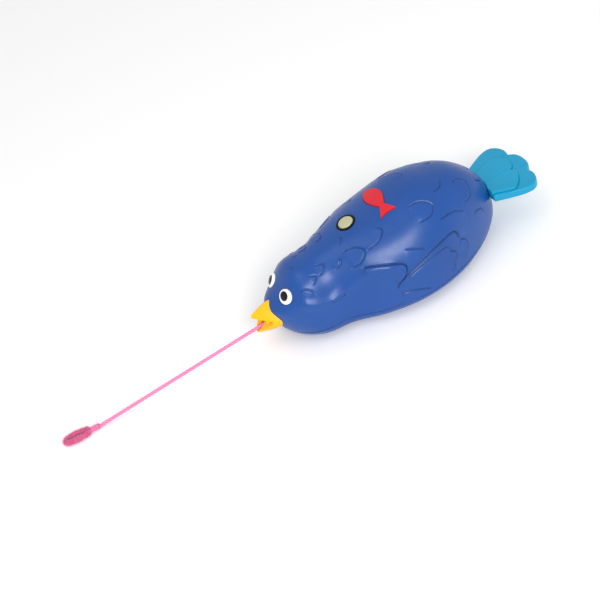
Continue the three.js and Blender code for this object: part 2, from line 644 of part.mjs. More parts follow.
for (const [i, [x, y]] of BRACKET_SCREWS.entries()) {
  place(`bracket_screw_${i + 1}`, turned([[0, -4.5], [1, -4.5], [1, GAP], [2.6, GAP], [2.6, 1.6], [0, 2.2]],
    new THREE.Vector3(x, y, 7.4), up, 16), STEEL);
}

// ---- brake ----------------------------------------------------------------------------------------

// The brake lever's ends: one under the button's stem, one over the spring cup.
const stemEnd = buttonSeat.clone().addScaledVector(buttonOut, -STEM_LENGTH);
const padAngle = THREE.MathUtils.degToRad(125);
const padRadius = CUP_RADIUS + GAP;
const padPoint = (radius, degrees) => {
  const angle = padAngle + THREE.MathUtils.degToRad(degrees);
  return [REEL_Y + radius * Math.cos(angle), reelZ + radius * Math.sin(angle)];
};

function brakeLever() {
  const left = stemEnd.y - 2.4;
  const top = stemEnd.z - 0.75;
  const outline = [[left, top - 2.2], [LEVER_PIN.y, LEVER_PIN.z - 2.6], padPoint(padRadius + 1.9, 9),
    padPoint(padRadius + 1.9, -7), padPoint(padRadius + 4, -7), [LEVER_PIN.y + 2, LEVER_PIN.z + 2.4],
    [LEVER_PIN.y - 1.5, LEVER_PIN.z + 2.2], [left + 4.4, top], [left, top]];
  const bar = plateX(outline, -LEVER_WIDTH / 2, LEVER_WIDTH / 2);
  return bar.subtract(barX(-10, 10, LEVER_PIN.y, LEVER_PIN.z, PIN_RADIUS + 0.15));
}

function brakePad() {
  const outline = [7, 3.5, 0, -3, -6].map((degrees) => padPoint(padRadius, degrees));
  outline.push(padPoint(padRadius + 1.6, -6), padPoint(padRadius + 1.6, 7));
  return plateX(outline.reverse(), -LEVER_WIDTH / 2, LEVER_WIDTH / 2);
}

place('brake_lever', brakeLever(), GREY);
place('brake_pad', brakePad(), RUBBER);
place('lever_pin', barX(CHEEK_RIGHT_X - 0.6, CHEEK_LEFT_X + CHEEK_THICK + 0.6, LEVER_PIN.y, LEVER_PIN.z,
  PIN_RADIUS), STEEL);
const brakeSpring = helix(new THREE.Vector3(0, BRAKE_SPRING_Y, 38.6), up, 2.2, 12, 3);
place('brake_spring', rod(brakeSpring, 0.35, 5, 24), STEEL);

// ---- cord -----------------------------------------------------------------------------------------


// The straight cord outside and just inside the mouth, which slides through the eyelet.
const cordLine = new THREE.LineCurve3(cordAt(-CORD_INSIDE), CORD_END);
place('pull_cord', rod(cordLine, CORD_RADIUS, 8, 26), PINK_CORD);

// The rest of the cord: a run to the reel, then one and a half turns on the drum.
function woundCord() {
  const points = [];
  const runSteps = 8;
  const start = cordAt(-CORD_INSIDE - GAP);
  for (let k = 0; k < runSteps; k += 1) points.push(start.clone().lerp(tangent, k / runSteps));
  const first = Math.atan2(-acrossCord.z, -acrossCord.y);
  const perTurn = 20;
  const turns = 1.5;
  for (let k = 0; k <= perTurn * turns; k += 1) {
    const angle = first - (2 * Math.PI * k) / perTurn;
    points.push(new THREE.Vector3(tangent.x + (TURN_PITCH * k) / perTurn,
      REEL_Y + WIND_RADIUS * Math.cos(angle), reelZ + WIND_RADIUS * Math.sin(angle)));
  }
  return rod(new THREE.CatmullRomCurve3(points), CORD_RADIUS, 8, 42);
}

place('wound_cord', woundCord(), PINK_CORD);

// The crimp joins the cord to the two legs of the loop, which lies flat on the table.
const heading = new THREE.Vector3(cordOut.x, cordOut.y, 0).normalize();
const sideways = new THREE.Vector3(-heading.y, heading.x, 0);
const crimpStart = CORD_END.clone().addScaledVector(cordOut, GAP);
const crimpEnd = crimpStart.clone().addScaledVector(heading, CRIMP_LENGTH);
crimpEnd.z = LOOP_Z;
const crimpAxis = crimpEnd.clone().sub(crimpStart);
place('loop_crimp', turned([[0, 0], [1.25, 0], [1.7, 1.2], [1.7, 3.8], [1.5, crimpAxis.length()],
  [0, crimpAxis.length()]], crimpStart.setZ(LOOP_Z), crimpAxis.setZ(0).normalize(), 16), PINK_CORD);

// A narrow drop: out along one leg, round the far end, back along the other. The legs start
// side by side at the crimp.
function loopPath() {
  const points = [];
  const steps = 24;
  for (let k = 0; k <= steps; k += 1) {
    const angle = (2 * Math.PI * k) / steps;
    const reach = (LOOP_LENGTH * (1 - Math.cos(angle))) / 2;
    const bow = Math.sin(angle) * Math.sin(angle / 2) ** 0.6;
    const spread = LEG_SPACING * Math.cos(angle / 2) + LOOP_HALF_WIDTH * bow;
    points.push(crimpEnd.clone().addScaledVector(heading, LOOP_START + reach).addScaledVector(sideways, spread));
  }
  return new THREE.CatmullRomCurve3(points);
}

const loopCurve = loopPath();

place('finger_loop', rod(loopCurve, LOOP_CORD_RADIUS, 8, 26), PINK_CORD);

// The chenille sleeve is a fat soft tube round most of the loop.
function loopSleeve() {
  const points = [];
  const steps = 24;
  for (let k = 0; k <= steps; k += 1) {
    points.push(loopCurve.getPointAt(SLEEVE_START + ((1 - 2 * SLEEVE_START) * k) / steps));
  }
  const shape = new THREE.Shape();
  shape.absarc(0, 0, SLEEVE_RADIUS, 0, 2 * Math.PI, false);
  const hole = new THREE.Path();
  hole.absarc(0, 0, LOOP_CORD_RADIUS + GAP, 0, 2 * Math.PI, true);
  shape.holes.push(hole);
  const extrudePath = new THREE.CatmullRomCurve3(points);
  return new THREE.ExtrudeGeometry(shape, { steps: 22, extrudePath, bevelEnabled: false, curveSegments: 4 });
}

place('loop_sleeve', loopSleeve(), PINK_PILE);

export default bird;
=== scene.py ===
import math
import random

import bmesh
import bpy
import numpy as np
from mathutils import Matrix, Vector, kdtree
from mathutils.geometry import delaunay_2d_cdt


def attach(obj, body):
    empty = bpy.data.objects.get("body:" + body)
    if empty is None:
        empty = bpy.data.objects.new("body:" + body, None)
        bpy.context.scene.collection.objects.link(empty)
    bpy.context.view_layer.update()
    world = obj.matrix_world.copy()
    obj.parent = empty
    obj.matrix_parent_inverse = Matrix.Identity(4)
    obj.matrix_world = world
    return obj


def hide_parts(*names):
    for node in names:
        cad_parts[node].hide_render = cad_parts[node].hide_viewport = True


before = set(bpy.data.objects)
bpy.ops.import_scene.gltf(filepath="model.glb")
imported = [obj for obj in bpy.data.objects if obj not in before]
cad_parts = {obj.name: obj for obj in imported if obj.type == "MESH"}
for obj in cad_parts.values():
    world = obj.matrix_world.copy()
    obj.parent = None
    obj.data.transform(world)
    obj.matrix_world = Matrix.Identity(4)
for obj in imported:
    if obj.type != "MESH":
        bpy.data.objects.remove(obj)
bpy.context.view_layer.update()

# The bird is worked out in millimetres in the body's own frame, whose y starts at the head's front
# end. place() turns such a point into metres in the shared frame.
MM = 0.001
MID_Y = 85.0


def place(point):
    return Vector((point[0] * MM, (point[1] - MID_Y) * MM, point[2] * MM))


def placed(points):
    return (np.asarray(points, float) - (0, MID_Y, 0)) * MM


# ---- camera ---------------------------------------------------------------------------------------

VIEW_AZIMUTH = math.radians(77.2)
VIEW_ELEVATION = math.radians(41.0)
VIEW_ROLL = math.radians(21.15)
VIEW_DISTANCE = 0.659
VIEW_AIM = Vector((-0.0036, -0.0618, 0.0156))
VIEW_LENS = 69.5


def add_camera():
    back = Vector((math.sin(VIEW_AZIMUTH) * math.cos(VIEW_ELEVATION),
                   -math.cos(VIEW_AZIMUTH) * math.cos(VIEW_ELEVATION), math.sin(VIEW_ELEVATION)))
    level = Vector((math.cos(VIEW_AZIMUTH), math.sin(VIEW_AZIMUTH), 0))
    above = back.cross(level)
    right = math.cos(VIEW_ROLL) * level - math.sin(VIEW_ROLL) * above
    up = math.sin(VIEW_ROLL) * level + math.cos(VIEW_ROLL) * above
    camera = bpy.data.objects.new("camera", bpy.data.cameras.new("camera"))
    bpy.context.scene.collection.objects.link(camera)
    camera.data.lens = VIEW_LENS
    camera.data.sensor_width = 36
    camera.data.clip_start = 0.01
    turn = Matrix((right, up, back)).transposed().to_4x4()
    camera.matrix_world = Matrix.Translation(VIEW_AIM + VIEW_DISTANCE * back) @ turn
    bpy.context.scene.camera = camera


add_camera()


# ---- materials ------------------------------------------------------------------------------------

def linear(red, green, blue):
    """A colour given as it looks on a screen, 0 to 255, as linear light."""
    def one(value):
        value /= 255
        return value / 12.92 if value <= 0.04045 else ((value + 0.055) / 1.055) ** 2.4
    return (one(red), one(green), one(blue), 1.0)


class Nodes:
    """A short way to add and join the nodes of one material."""

    def __init__(self, name):
        self.material = bpy.data.materials.new(name)
        self.material.use_nodes = True
        self.tree = self.material.node_tree
        self.shader = self.tree.nodes["Principled BSDF"]

    def add(self, kind, **values):
        node = self.tree.nodes.new(kind)
        for key, value in values.items():
            setattr(node, key, value)
        return node

    def join(self, out, into):
        self.tree.links.new(out, into)

    def object_place(self):
        return self.add("ShaderNodeTexCoord").outputs["Object"]

    def noise(self, place, scale, detail=3.0, roughness=0.5):
        node = self.add("ShaderNodeTexNoise")
        node.inputs["Scale"].default_value = scale
        node.inputs["Detail"].default_value = detail
        node.inputs["Roughness"].default_value = roughness
        self.join(place, node.inputs["Vector"])
        return node.outputs["Fac"]

    def ramp(self, value, stops):
        """stops are (place, colour) pairs."""
        node = self.add("ShaderNodeValToRGB")
        elements = node.color_ramp.elements
        while len(elements) < len(stops):
            elements.new(0.5)
        for element, (where, colour) in zip(elements, stops):
            element.position = where
            element.color = colour
        self.join(value, node.inputs["Fac"])
        return node.outputs["Color"]

    def span(self, value, low, high, from_low=0.3, from_high=0.7):
        node = self.add("ShaderNodeMapRange")
        node.inputs["From Min"].default_value = from_low
        node.inputs["From Max"].default_value = from_high
        node.inputs["To Min"].default_value = low
        node.inputs["To Max"].default_value = high
        self.join(value, node.inputs["Value"])
        return node.outputs["Result"]

    def maths(self, operation, first, second):
        node = self.add("ShaderNodeMath", operation=operation)
        for value, socket in zip((first, second), node.inputs):
            if isinstance(value, (int, float)):
                socket.default_value = value
            else:
                self.join(value, socket)
        return node.outputs["Value"]

    def blend(self, factor, first, second, kind="MIX"):
        node = self.add("ShaderNodeMix", data_type="RGBA", blend_type=kind)
        if isinstance(factor, (int, float)):
            node.inputs["Factor"].default_value = factor
        else:
            self.join(factor, node.inputs["Factor"])
        for value, socket in zip((first, second), (node.inputs[6], node.inputs[7])):
            if isinstance(value, tuple):
                socket.default_value = value
            else:
                self.join(value, socket)
        return node.outputs[2]

    def bump(self, height, distance, strength=1.0, under=None):
        node = self.add("ShaderNodeBump")
        node.inputs["Distance"].default_value = distance
        node.inputs["Strength"].default_value = strength
        self.join(height, node.inputs["Height"])
        if under is not None:
            self.join(under, node.inputs["Normal"])
        return node.outputs["Normal"]


def scaled(colour, factor):
    return tuple(min(1.0, channel * factor) for channel in colour[:3]) + (1.0,)


def moulded_plastic(name, colour, roughness, wear=0.35, grain=0.000012, coat=0.0):
    """Injection moulded plastic: slow shade changes, small worn spots, a fine satin grain, faint
    scuffs, and painted shade in the grooves."""
    n = Nodes(name)
    where = n.object_place()
    cloud = n.noise(where, 38, detail=4)
    shade = n.ramp(cloud, [(0.3, scaled(colour, 0.93)), (0.7, scaled(colour, 1.06))])
    worn = n.span(n.noise(where, 900, detail=6, roughness=0.7), 0, wear, 0.55, 0.8)
    shade = n.blend(worn, shade, scaled(colour, 1.25))
    # Painted shade: the colour darkens towards 0.4 of itself where the mesh marks a point deep in a groove.
    groove_and_shade = n.add("ShaderNodeAttribute", attribute_name="groove_and_shade").outputs["Fac"]
    shade = n.blend(n.maths("MULTIPLY", groove_and_shade, 0.6), shade, scaled(colour, 0.4))
    n.join(shade, n.shader.inputs["Base Color"])
    scuffs = n.noise(where, 260, detail=6, roughness=0.7)
    n.join(n.span(scuffs, roughness - 0.05, roughness + 0.08, 0.3, 0.75), n.shader.inputs["Roughness"])
    fine = n.bump(n.noise(where, 5200, detail=2), grain)
    n.join(n.bump(n.noise(where, 300, detail=2), grain * 4, under=fine), n.shader.inputs["Normal"])
    n.shader.inputs["Specular IOR Level"].default_value = 0.27
    n.shader.inputs["Coat Weight"].default_value = coat
    n.shader.inputs["Coat Roughness"].default_value = 0.24
    return n.material


def drawn_metal(name, colour, roughness):
    """Bright metal with fine turning lines and a dull, patchy tarnish."""
    n = Nodes(name)
    where = n.object_place()
    patch = n.noise(where, 420, detail=5, roughness=0.65)
    n.join(n.ramp(patch, [(0.35, scaled(colour, 0.8)), (0.65, colour)]), n.shader.inputs["Base Color"])
    n.shader.inputs["Metallic"].default_value = 1.0
    n.join(n.span(patch, roughness + 0.12, roughness, 0.35, 0.65), n.shader.inputs["Roughness"])
    lines = n.add("ShaderNodeTexWave", bands_direction="Z")
    lines.inputs["Scale"].default_value = 1500
    lines.inputs["Distortion"].default_value = 3
    n.join(where, lines.inputs["Vector"])
    n.join(n.bump(lines.outputs["Fac"], 0.000006), n.shader.inputs["Normal"])
    return n.material


BLUE = moulded_plastic("blue_plastic", linear(10, 68, 142), 0.36, coat=0.3)
TEAL = moulded_plastic("teal_plastic", linear(0, 146, 186), 0.36, coat=0.15)
YELLOW = moulded_plastic("yellow_plastic", linear(240, 176, 8), 0.36)
WHITE = moulded_plastic("white_plastic", linear(240, 240, 238), 0.28, wear=0.1)
BLACK = moulded_plastic("black_plastic", linear(14, 13, 15), 0.25, wear=0.15)
RED = moulded_plastic("red_plastic", linear(205, 32, 46), 0.38)
CREAM = moulded_plastic("button_plastic", linear(178, 176, 140), 0.16, wear=0.2, coat=0.6)
GREY = moulded_plastic("grey_plastic", linear(120, 124, 128), 0.55)
RUBBER = moulded_plastic("rubber", linear(24, 24, 26), 0.85, wear=0.1)
STEEL = drawn_metal("steel", linear(190, 193, 197), 0.28)
BRASS = drawn_metal("brass", linear(205, 165, 82), 0.25)


def braid_material():
    """Round braid: the strands are in the mesh, painted darker in their hollows and lighter on their crests as
    painted shade, and the fibres of each strand are fine lines.
    """
    n = Nodes("pink_cord")
    where = n.object_place()
    painted_strand_shade = n.add("ShaderNodeAttribute", attribute_name="strand_shade")
    shade = n.ramp(painted_strand_shade.outputs["Fac"], [(0.0, linear(160, 40, 100)), (0.55, linear(222, 92, 152)),
                                            (1.0, linear(240, 140, 188))])
    n.join(n.blend(n.span(n.noise(where, 2600, detail=3), 0, 0.3), shade, linear(244, 170, 206)),
           n.shader.inputs["Base Color"])
    n.shader.inputs["Roughness"].default_value = 0.7
    n.shader.inputs["Sheen Weight"].default_value = 0.35
    n.shader.inputs["Sheen Roughness"].default_value = 0.4
    n.shader.inputs["Subsurface Weight"].default_value = 0.15
    n.shader.inputs["Subsurface Radius"].default_value = (0.0006, 0.0003, 0.0004)
    n.join(n.bump(n.noise(where, 7000, detail=2), 0.00003), n.shader.inputs["Normal"])
    return n.material


def pile_material():
    """Chenille pile: fibres painted from a deep pink root to a pale tip, as painted shade deep in the pile."""
    n = Nodes("pink_pile")
    where = n.object_place()
    root_to_tip_shade = n.add("ShaderNodeAttribute", attribute_name="strand_shade")
    shade = n.ramp(root_to_tip_shade.outputs["Fac"], [(0.0, linear(206, 36, 112)), (0.6, linear(238, 84, 152)),
                                         (1.0, linear(250, 150, 200))])
    n.join(n.blend(n.span(n.noise(where, 900, detail=3), 0, 0.35), shade, linear(250, 130, 185)),
           n.shader.inputs["Base Color"])
    n.join(n.span(n.noise(where, 1500), 0.75, 0.95), n.shader.inputs["Roughness"])
    n.shader.inputs["Sheen Weight"].default_value = 0.5
    n.shader.inputs["Sheen Roughness"].default_value = 0.5
    n.shader.inputs["Subsurface Weight"].default_value = 0.2
    n.shader.inputs["Subsurface Radius"].default_value = (0.0006, 0.0003, 0.0004)
    return n.material


CORD = braid_material()
PILE = pile_material()


# ---- making meshes --------------------------------------------------------------------------------

def mesh_object(name, points, faces, material, smooth_angle=38):
    """points are in the shared frame, in metres."""
    mesh = bpy.data.meshes.new(name)
    mesh.from_pydata([tuple(p) for p in points], [], [tuple(f) for f in faces])
    piece = bpy.data.objects.new(name, mesh)
    bpy.context.scene.collection.objects.link(piece)
    mesh.materials.append(material)
    finish_mesh(mesh, smooth_angle)
    return piece


def finish_mesh(mesh, smooth_angle=38):
    mesh.validate()
    mesh.shade_smooth()
    mesh.set_sharp_from_angle(angle=math.radians(smooth_angle))
    mesh.update()


def settle(piece, body, slot, *nodes):
    """Says which body a piece rides on and the CAD nodes that it stands for. slot, the finish, is not used."""
    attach(piece, body)
    if nodes:
        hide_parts(*nodes)


def soften_edges(piece, width, angle=40, segments=2):
    bevel = piece.modifiers.new("soft_edges", "BEVEL")
    bevel.width = width * MM
    bevel.segments = segments
    bevel.limit_method = "ANGLE"
    bevel.angle_limit = math.radians(angle)
    bevel.harden_normals = False


def across_pair(direction):
    """Two directions square to this one and to each other."""
    direction = Vector(direction).normalized()
    helper = Vector((0, 0, 1)) if abs(direction.z) < 0.9 else Vector((1, 0, 0))
    first = direction.cross(helper).normalized()
    return first, direction.cross(first)


def turned_mesh(profile, origin, direction, sides=72):
    """Points and faces of a turned piece. profile is [radius, height] pairs from axis to axis."""
    origin = Vector(origin)
    direction = Vector(direction).normalized()
    first, second = across_pair(direction)
    points, rows, faces = [], [], []
    for radius, height in profile:
        centre = origin + direction * height
        if radius < 1e-6:
            rows.append([len(points)])
            points.append(centre)
            continue
        rows.append(list(range(len(points), len(points) + sides)))
        for k in range(sides):
            angle = 2 * math.pi * k / sides
            points.append(centre + radius * (first * math.cos(angle) + second * math.sin(angle)))
    for low, high in zip(rows, rows[1:]):
        for k in range(sides):
            a, b = low[k % len(low)], low[(k + 1) % len(low)]
            c, d = high[(k + 1) % len(high)], high[k % len(high)]
            corners = list(dict.fromkeys((a, b, c, d)))
            if len(corners) > 2:
                faces.append(corners)
    return points, faces


def turned(name, profile, origin, direction, material, sides=72):
    """A turned piece in body millimetres, as an object."""
    points, faces = turned_mesh(profile, origin, direction, sides)
    piece = mesh_object(name, placed(points), faces, material)
    outward(piece)
    return piece


def outward(piece):
    made = bmesh.new()
    made.from_mesh(piece.data)
    bmesh.ops.recalc_face_normals(made, faces=made.faces)
    made.to_mesh(piece.data)
    made.free()


def cut(piece, *cutters, operation="DIFFERENCE"):
    """Cuts other pieces out of this one, or joins them to it, and removes them."""
    for cutter in cutters:
        step = piece.modifiers.new("cut", "BOOLEAN")
        step.operation = operation
        step.solver = "EXACT"
        step.object = cutter
        done = bpy.data.meshes.new_from_object(piece.evaluated_get(bpy.context.evaluated_depsgraph_get()))
        piece.modifiers.remove(step)
        old = piece.data
        piece.data = done
        bpy.data.meshes.remove(old)
        bpy.data.objects.remove(cutter)


def joined(name, pieces):
    """One object made of several, which don't touch each other."""
    made = bmesh.new()
    for piece in pieces:
        made.from_mesh(piece.data)
    mesh = bpy.data.meshes.new(name)
    made.to_mesh(mesh)
    made.free()
    whole = bpy.data.objects.new(name, mesh)
    bpy.context.scene.collection.objects.link(whole)
    for piece in pieces:
        bpy.data.objects.remove(piece)
    return whole


# ---- the body's surface ---------------------------------------------------------------------------

BODY_LENGTH = 150.0
WALL = 2.2
PARTING_Z = 9.0
PARTING_GAP = 0.3
WIDTH_SWELL = [(0, 28), (0.06, 28.6), (0.15, 30), (0.27, 26.7), (0.4, 33.2), (0.55, 37.6), (0.7, 37.8),
               (0.84, 34.8), (0.94, 32.8), (1, 32.5)]
BACK_SWELL = [(0, 12), (0.06, 19.5), (0.15, 39.3), (0.27, 40.5), (0.4, 41.7), (0.55, 45), (0.7, 52.7),
              (0.84, 56.3), (0.94, 53.9), (1, 52)]
WATERLINE_Z = 10.7
HEAD_POLE_Z = 25.8
RUMP_POLE_Z = 18.4
BACK_POWER = 2.3
BELLY_POWER = 2.65
BELLY_SINK = 1.2
CHEST_FRACTION = 0.23
RUMP_FRACTION = 0.19
HEAD_BLUNTING = 0.023
HEAD_BLUNT_REACH = 0.14
HEAD_POWER = 1.6


def curve_through(pairs):
    """A smooth curve through (place, value) pairs, with averaged slopes at the pairs."""
    places = np.array([p for p, _ in pairs], float)
    values = np.array([v for _, v in pairs], float)
    before = np.maximum(np.arange(len(pairs)) - 1, 0)
    after = np.minimum(np.arange(len(pairs)) + 1, len(pairs) - 1)
    slopes = (values[after] - values[before]) / (places[after] - places[before])

    def curve(x):
        i = np.clip(np.searchsorted(places, x) - 1, 0, len(places) - 2)
        step = places[i + 1] - places[i]
        t = np.clip((x - places[i]) / step, 0, 1)
        return ((2 * t**3 - 3 * t**2 + 1) * values[i] + (t**3 - 2 * t**2 + t) * step * slopes[i]
                + (3 * t**2 - 2 * t**3) * values[i + 1] + (t**3 - t**2) * step * slopes[i + 1])

    return curve


width_swell = curve_through(WIDTH_SWELL)
back_swell = curve_through(BACK_SWELL)


def smooth_step(x, low, high):
    t = np.clip((np.asarray(x, float) - low) / (high - low), 0, 1)
    return t * t * (3 - 2 * t)


def head_start():
    """Where the blunted head ends, in millimetres: the place where its round profile reaches zero."""
    share = HEAD_BLUNTING / HEAD_BLUNT_REACH
    return BODY_LENGTH * HEAD_BLUNT_REACH * (1 + 2 * share - math.sqrt(1 + 4 * share)) / (2 * share)


HEAD_Y = head_start()


def station(y):
    """Half width, waterline, back and belly heights at a place along the body."""
    s = np.clip(np.asarray(y, float) / BODY_LENGTH, 0, 1)
    blunted = np.clip(s - HEAD_BLUNTING * np.maximum(0, 1 - s / HEAD_BLUNT_REACH) ** 2, 0, 1)
    round_end = np.sqrt(4 * blunted * (1 - blunted))
    waterline = (HEAD_POLE_Z + (WATERLINE_Z - HEAD_POLE_Z) * smooth_step(s, 0, 0.25)
                 + (RUMP_POLE_Z - WATERLINE_Z) * smooth_step(s, 0.75, 1))
    chest = np.clip(1 - blunted / CHEST_FRACTION, 0, 1)
    rump = np.clip(1 - (1 - s) / RUMP_FRACTION, 0, 1)
    lift = 2 - np.sqrt(1 - chest**2) - np.sqrt(1 - rump**2)
    belly = -BELLY_SINK + (waterline + BELLY_SINK) * lift
    return width_swell(s) * round_end, waterline, waterline + back_swell(s) * round_end, belly


def back_power(y):
    """How square the body is above its waterline: less so towards the beak."""
    near = np.maximum(0, 1 - np.asarray(y, float) / BODY_LENGTH / HEAD_BLUNT_REACH) ** 2
    return BACK_POWER + (HEAD_POWER - BACK_POWER) * near


def surface(y, angle, grow=0.0):
    """Points of the body's surface. Angle 0 is the left waterline, a quarter turn is the crest."""
    half_width, waterline, back, belly = station(y)
    sine, cosine = np.sin(angle), np.cos(angle)
    power = np.where(sine >= 0, 2 / back_power(y), 2 / BELLY_POWER)
    across = np.sign(cosine) * np.abs(cosine) ** power
    along = np.abs(sine) ** power
    rise = np.maximum(back - waterline + grow, 0.01)
    fall = np.maximum(waterline - belly + grow, 0.01)
    z = np.maximum(waterline + along * np.where(sine >= 0, rise, -fall), -grow)
    return np.stack(np.broadcast_arrays(across * np.maximum(half_width + grow, 0.01), y, z), axis=-1)


def surface_normal(y, angle):
    step = 0.3
    y = np.clip(y, HEAD_Y + step, BODY_LENGTH - step)
    along = surface(y + step, angle) - surface(y - step, angle)
    around = surface(y, angle + 0.02) - surface(y, angle - 0.02)
    normal = np.cross(along, around)
    return normal / np.maximum(np.linalg.norm(normal, axis=-1, keepdims=True), 1e-9)


def seat(y, angle, side=1):
    """A point of the surface and the way out of it, on the left or, with side -1, on the right."""
    point = surface(y, angle) * (side, 1, 1)
    return Vector(point), Vector(surface_normal(y, angle) * (side, 1, 1))


def angle_at(x, y, z=None):
    """The angle round the body of a point on it, from its x, or from its x and z."""
    half_width, waterline, back, belly = (float(v) for v in station(y))
    power = float(back_power(y)) if z is None or z >= waterline else BELLY_POWER
    across = min(abs(x) / half_width, 1) ** (power / 2)
    if z is None:
        angle = math.acos(across)
    else:
        rise = back - waterline if z >= waterline else waterline - belly
        along = min(abs(z - waterline) / rise, 1) ** (power / 2)
        angle = math.copysign(math.atan2(along, across), z - waterline)
    return math.pi - angle if x < 0 else angle


# ---- feather lines --------------------------------------------------------------------------------

# Points of each feather's edge, (x, y) from above or (x, y, z), on the bird's left. The edges below
# are repeated on the right; the ones after them are on one side only.
FEATHER_EDGES = [
    [(9.1, 118.2), (13, 116.8), (15.2, 114), (16.2, 109)],
    [(14.4, 122.4), (12, 127.5), (12.7, 131.2), (16.2, 131.9), (19.3, 128.8), (21.4, 123.2)],
    [(17.2, 92.6), (17.6, 99), (19.8, 103.8), (22.3, 105.5), (25.4, 101.6), (25.6, 93.7)],
    [(27.6, 104.5), (26.7, 108.3), (24.7, 115.8), (23.5, 122.9)],
    [(14.6, 72.2), (18.1, 75.1), (21.3, 71.2), (21.6, 66), (21.1, 61.6)],
    [(13.6, 49.9), (15.4, 56), (18.6, 60.2), (21.1, 60.9), (22.8, 56.1), (20.9, 50.2)],
    [(13.5, 45.6), (15.1, 47.8), (16.8, 46.3), (16.4, 42.2)],
    [(8.6, 33.7), (11.3, 39.1), (13.8, 36.3), (14, 33.6)],
    [(12, 28.1), (13.6, 32.6), (15.7, 30.2), (16, 28)],
    [(14.6, 19, 35.8), (15.4, 22.9, 37.5), (17.5, 26.4, 35.8), (19, 27.2, 32.5)],
    [(21.2, 33, 26.5), (21.8, 35.6, 24.9), (22.3, 40.7, 25.6), (22.8, 43.5, 28)],
    [(30.4, 79.5, 40), (31.5, 84.1, 38.4), (33.1, 91.4, 35.4)],
    [(36.4, 68, 15.5), (36.6, 72.2, 16.8), (37.2, 80, 14.6), (37.4, 87.5, 10.6)],
    [(33.6, 61, 11.6), (34.2, 64.2, 10.2), (35.8, 69.5, 11.6)],
    [(10.3, 138.5), (8, 143.2), (4.6, 145.6)],
    [(27.5, 128, 33), (26.4, 134, 30), (28, 136.5, 24)],
]
SHOULDER_EDGE = [(24.6, 55, 38.6), (26.9, 61.5, 37.7), (31.6, 72.2, 35.2), (33.7, 76.7, 32.2),
                 (35.1, 73.6, 26.1), (34.1, 68, 24.7)]
ONE_SIDED_EDGES = [
    [(-14.6, 91.2), (-10, 99.5), (-5, 103), (-1.6, 102.6)],
    [(-4.1, 42.4), (-2.6, 45.1), (-5.5, 48), (-10.5, 46.5), (-12, 41.5)],
    [(-6.9, 31.5), (-5.2, 36.1), (-8.5, 38.8), (-12.5, 36.5), (-13.8, 32.5)],
    [(-5.1, 26.4), (-3.9, 30.3), (-1.6, 29.4)],
    [(0.8, 21.4), (2.8, 24), (5, 22.5)],
    [(2.7, 138.8), (0.2, 141.5), (-3.4, 141.2)],
    [(-19, 116), (-15, 122), (-8, 123.4), (-4.4, 119)],
    [(4.2, 52.5), (7.4, 54.8), (9.6, 51)],
]
WING_UPPER = [(34.4, 67.5, 20.5), (35, 72, 25.4), (35.1, 81, 29), (34.2, 92, 32.2), (31.9, 103.6, 34.2),
              (29.9, 110.6, 33.5), (30.5, 112.4, 29.5), (30.7, 112.6, 26.8)]
WING_TIPS = [(30.7, 112.6, 26.8), (30.2, 115.8, 24.5), (30.3, 116.8, 20.8), (30.1, 116.4, 17.9),
             (31.2, 114, 15.2), (32.6, 111.6, 12.9)]
WING_INNER = [(35.6, 75.7, 25.1), (35.8, 82, 27.2), (35.5, 89, 28.3), (34.6, 96.5, 29.8), (33.5, 102, 29.5),
              (33.4, 104.2, 27.8), (33.9, 103.7, 25.7)]
WING_INNER_TIPS = [(33.9, 103.7, 25.7), (33.6, 106.6, 23.6), (33.9, 107, 20.4), (34.6, 104.6, 17.6),
                   (34.8, 103.7, 16.4), (35, 104, 14.2), (35.6, 101, 12.6)]
CHEEK_LEDGE = [(15.3, 16.5, 33.5), (18.6, 21, 29.2), (20.9, 28, 26.6), (21.6, 36, 26.2), (21.9, 44, 28.6),
               (23.2, 52, 31.8), (26, 60, 34.2), (29.2, 66.5, 33.6), (32.3, 73.5, 31.8)]

EDGE_STEP = 0.5
FINE_REACH = 1.3


def spline(points, step):
    """A smooth run through given points (Catmull-Rom), with a point about every step."""
    points = [np.array(p, float) for p in points]
    ends = [2 * points[0] - points[1], *points, 2 * points[-1] - points[-2]]
    run = []
    for before, start, stop, after in zip(ends, ends[1:], ends[2:], ends[3:]):
        pieces = max(2, int(np.linalg.norm(stop - start) / step) + 1)
        for t in np.arange(pieces) / pieces:
            square_part = (2 * before - 5 * start + 4 * stop - after) * t**2
            cube_part = (3 * start - before - 3 * stop + after) * t**3
            run.append(0.5 * (2 * start + (stop - before) * t + square_part + cube_part))
    run.append(points[-1])
    return np.array(run)


def on_surface(points, step=EDGE_STEP):
    """A run of surface points and their normals, through given points near the surface."""
    places = [(angle_at(*p) * 40, p[1]) for p in points]
    run = spline(places, step)
    return surface(run[:, 1], run[:, 0] / 40), surface_normal(run[:, 1], run[:, 0] / 40)


def mirrored(points):
    return [(-p[0], *p[1:]) for p in points]


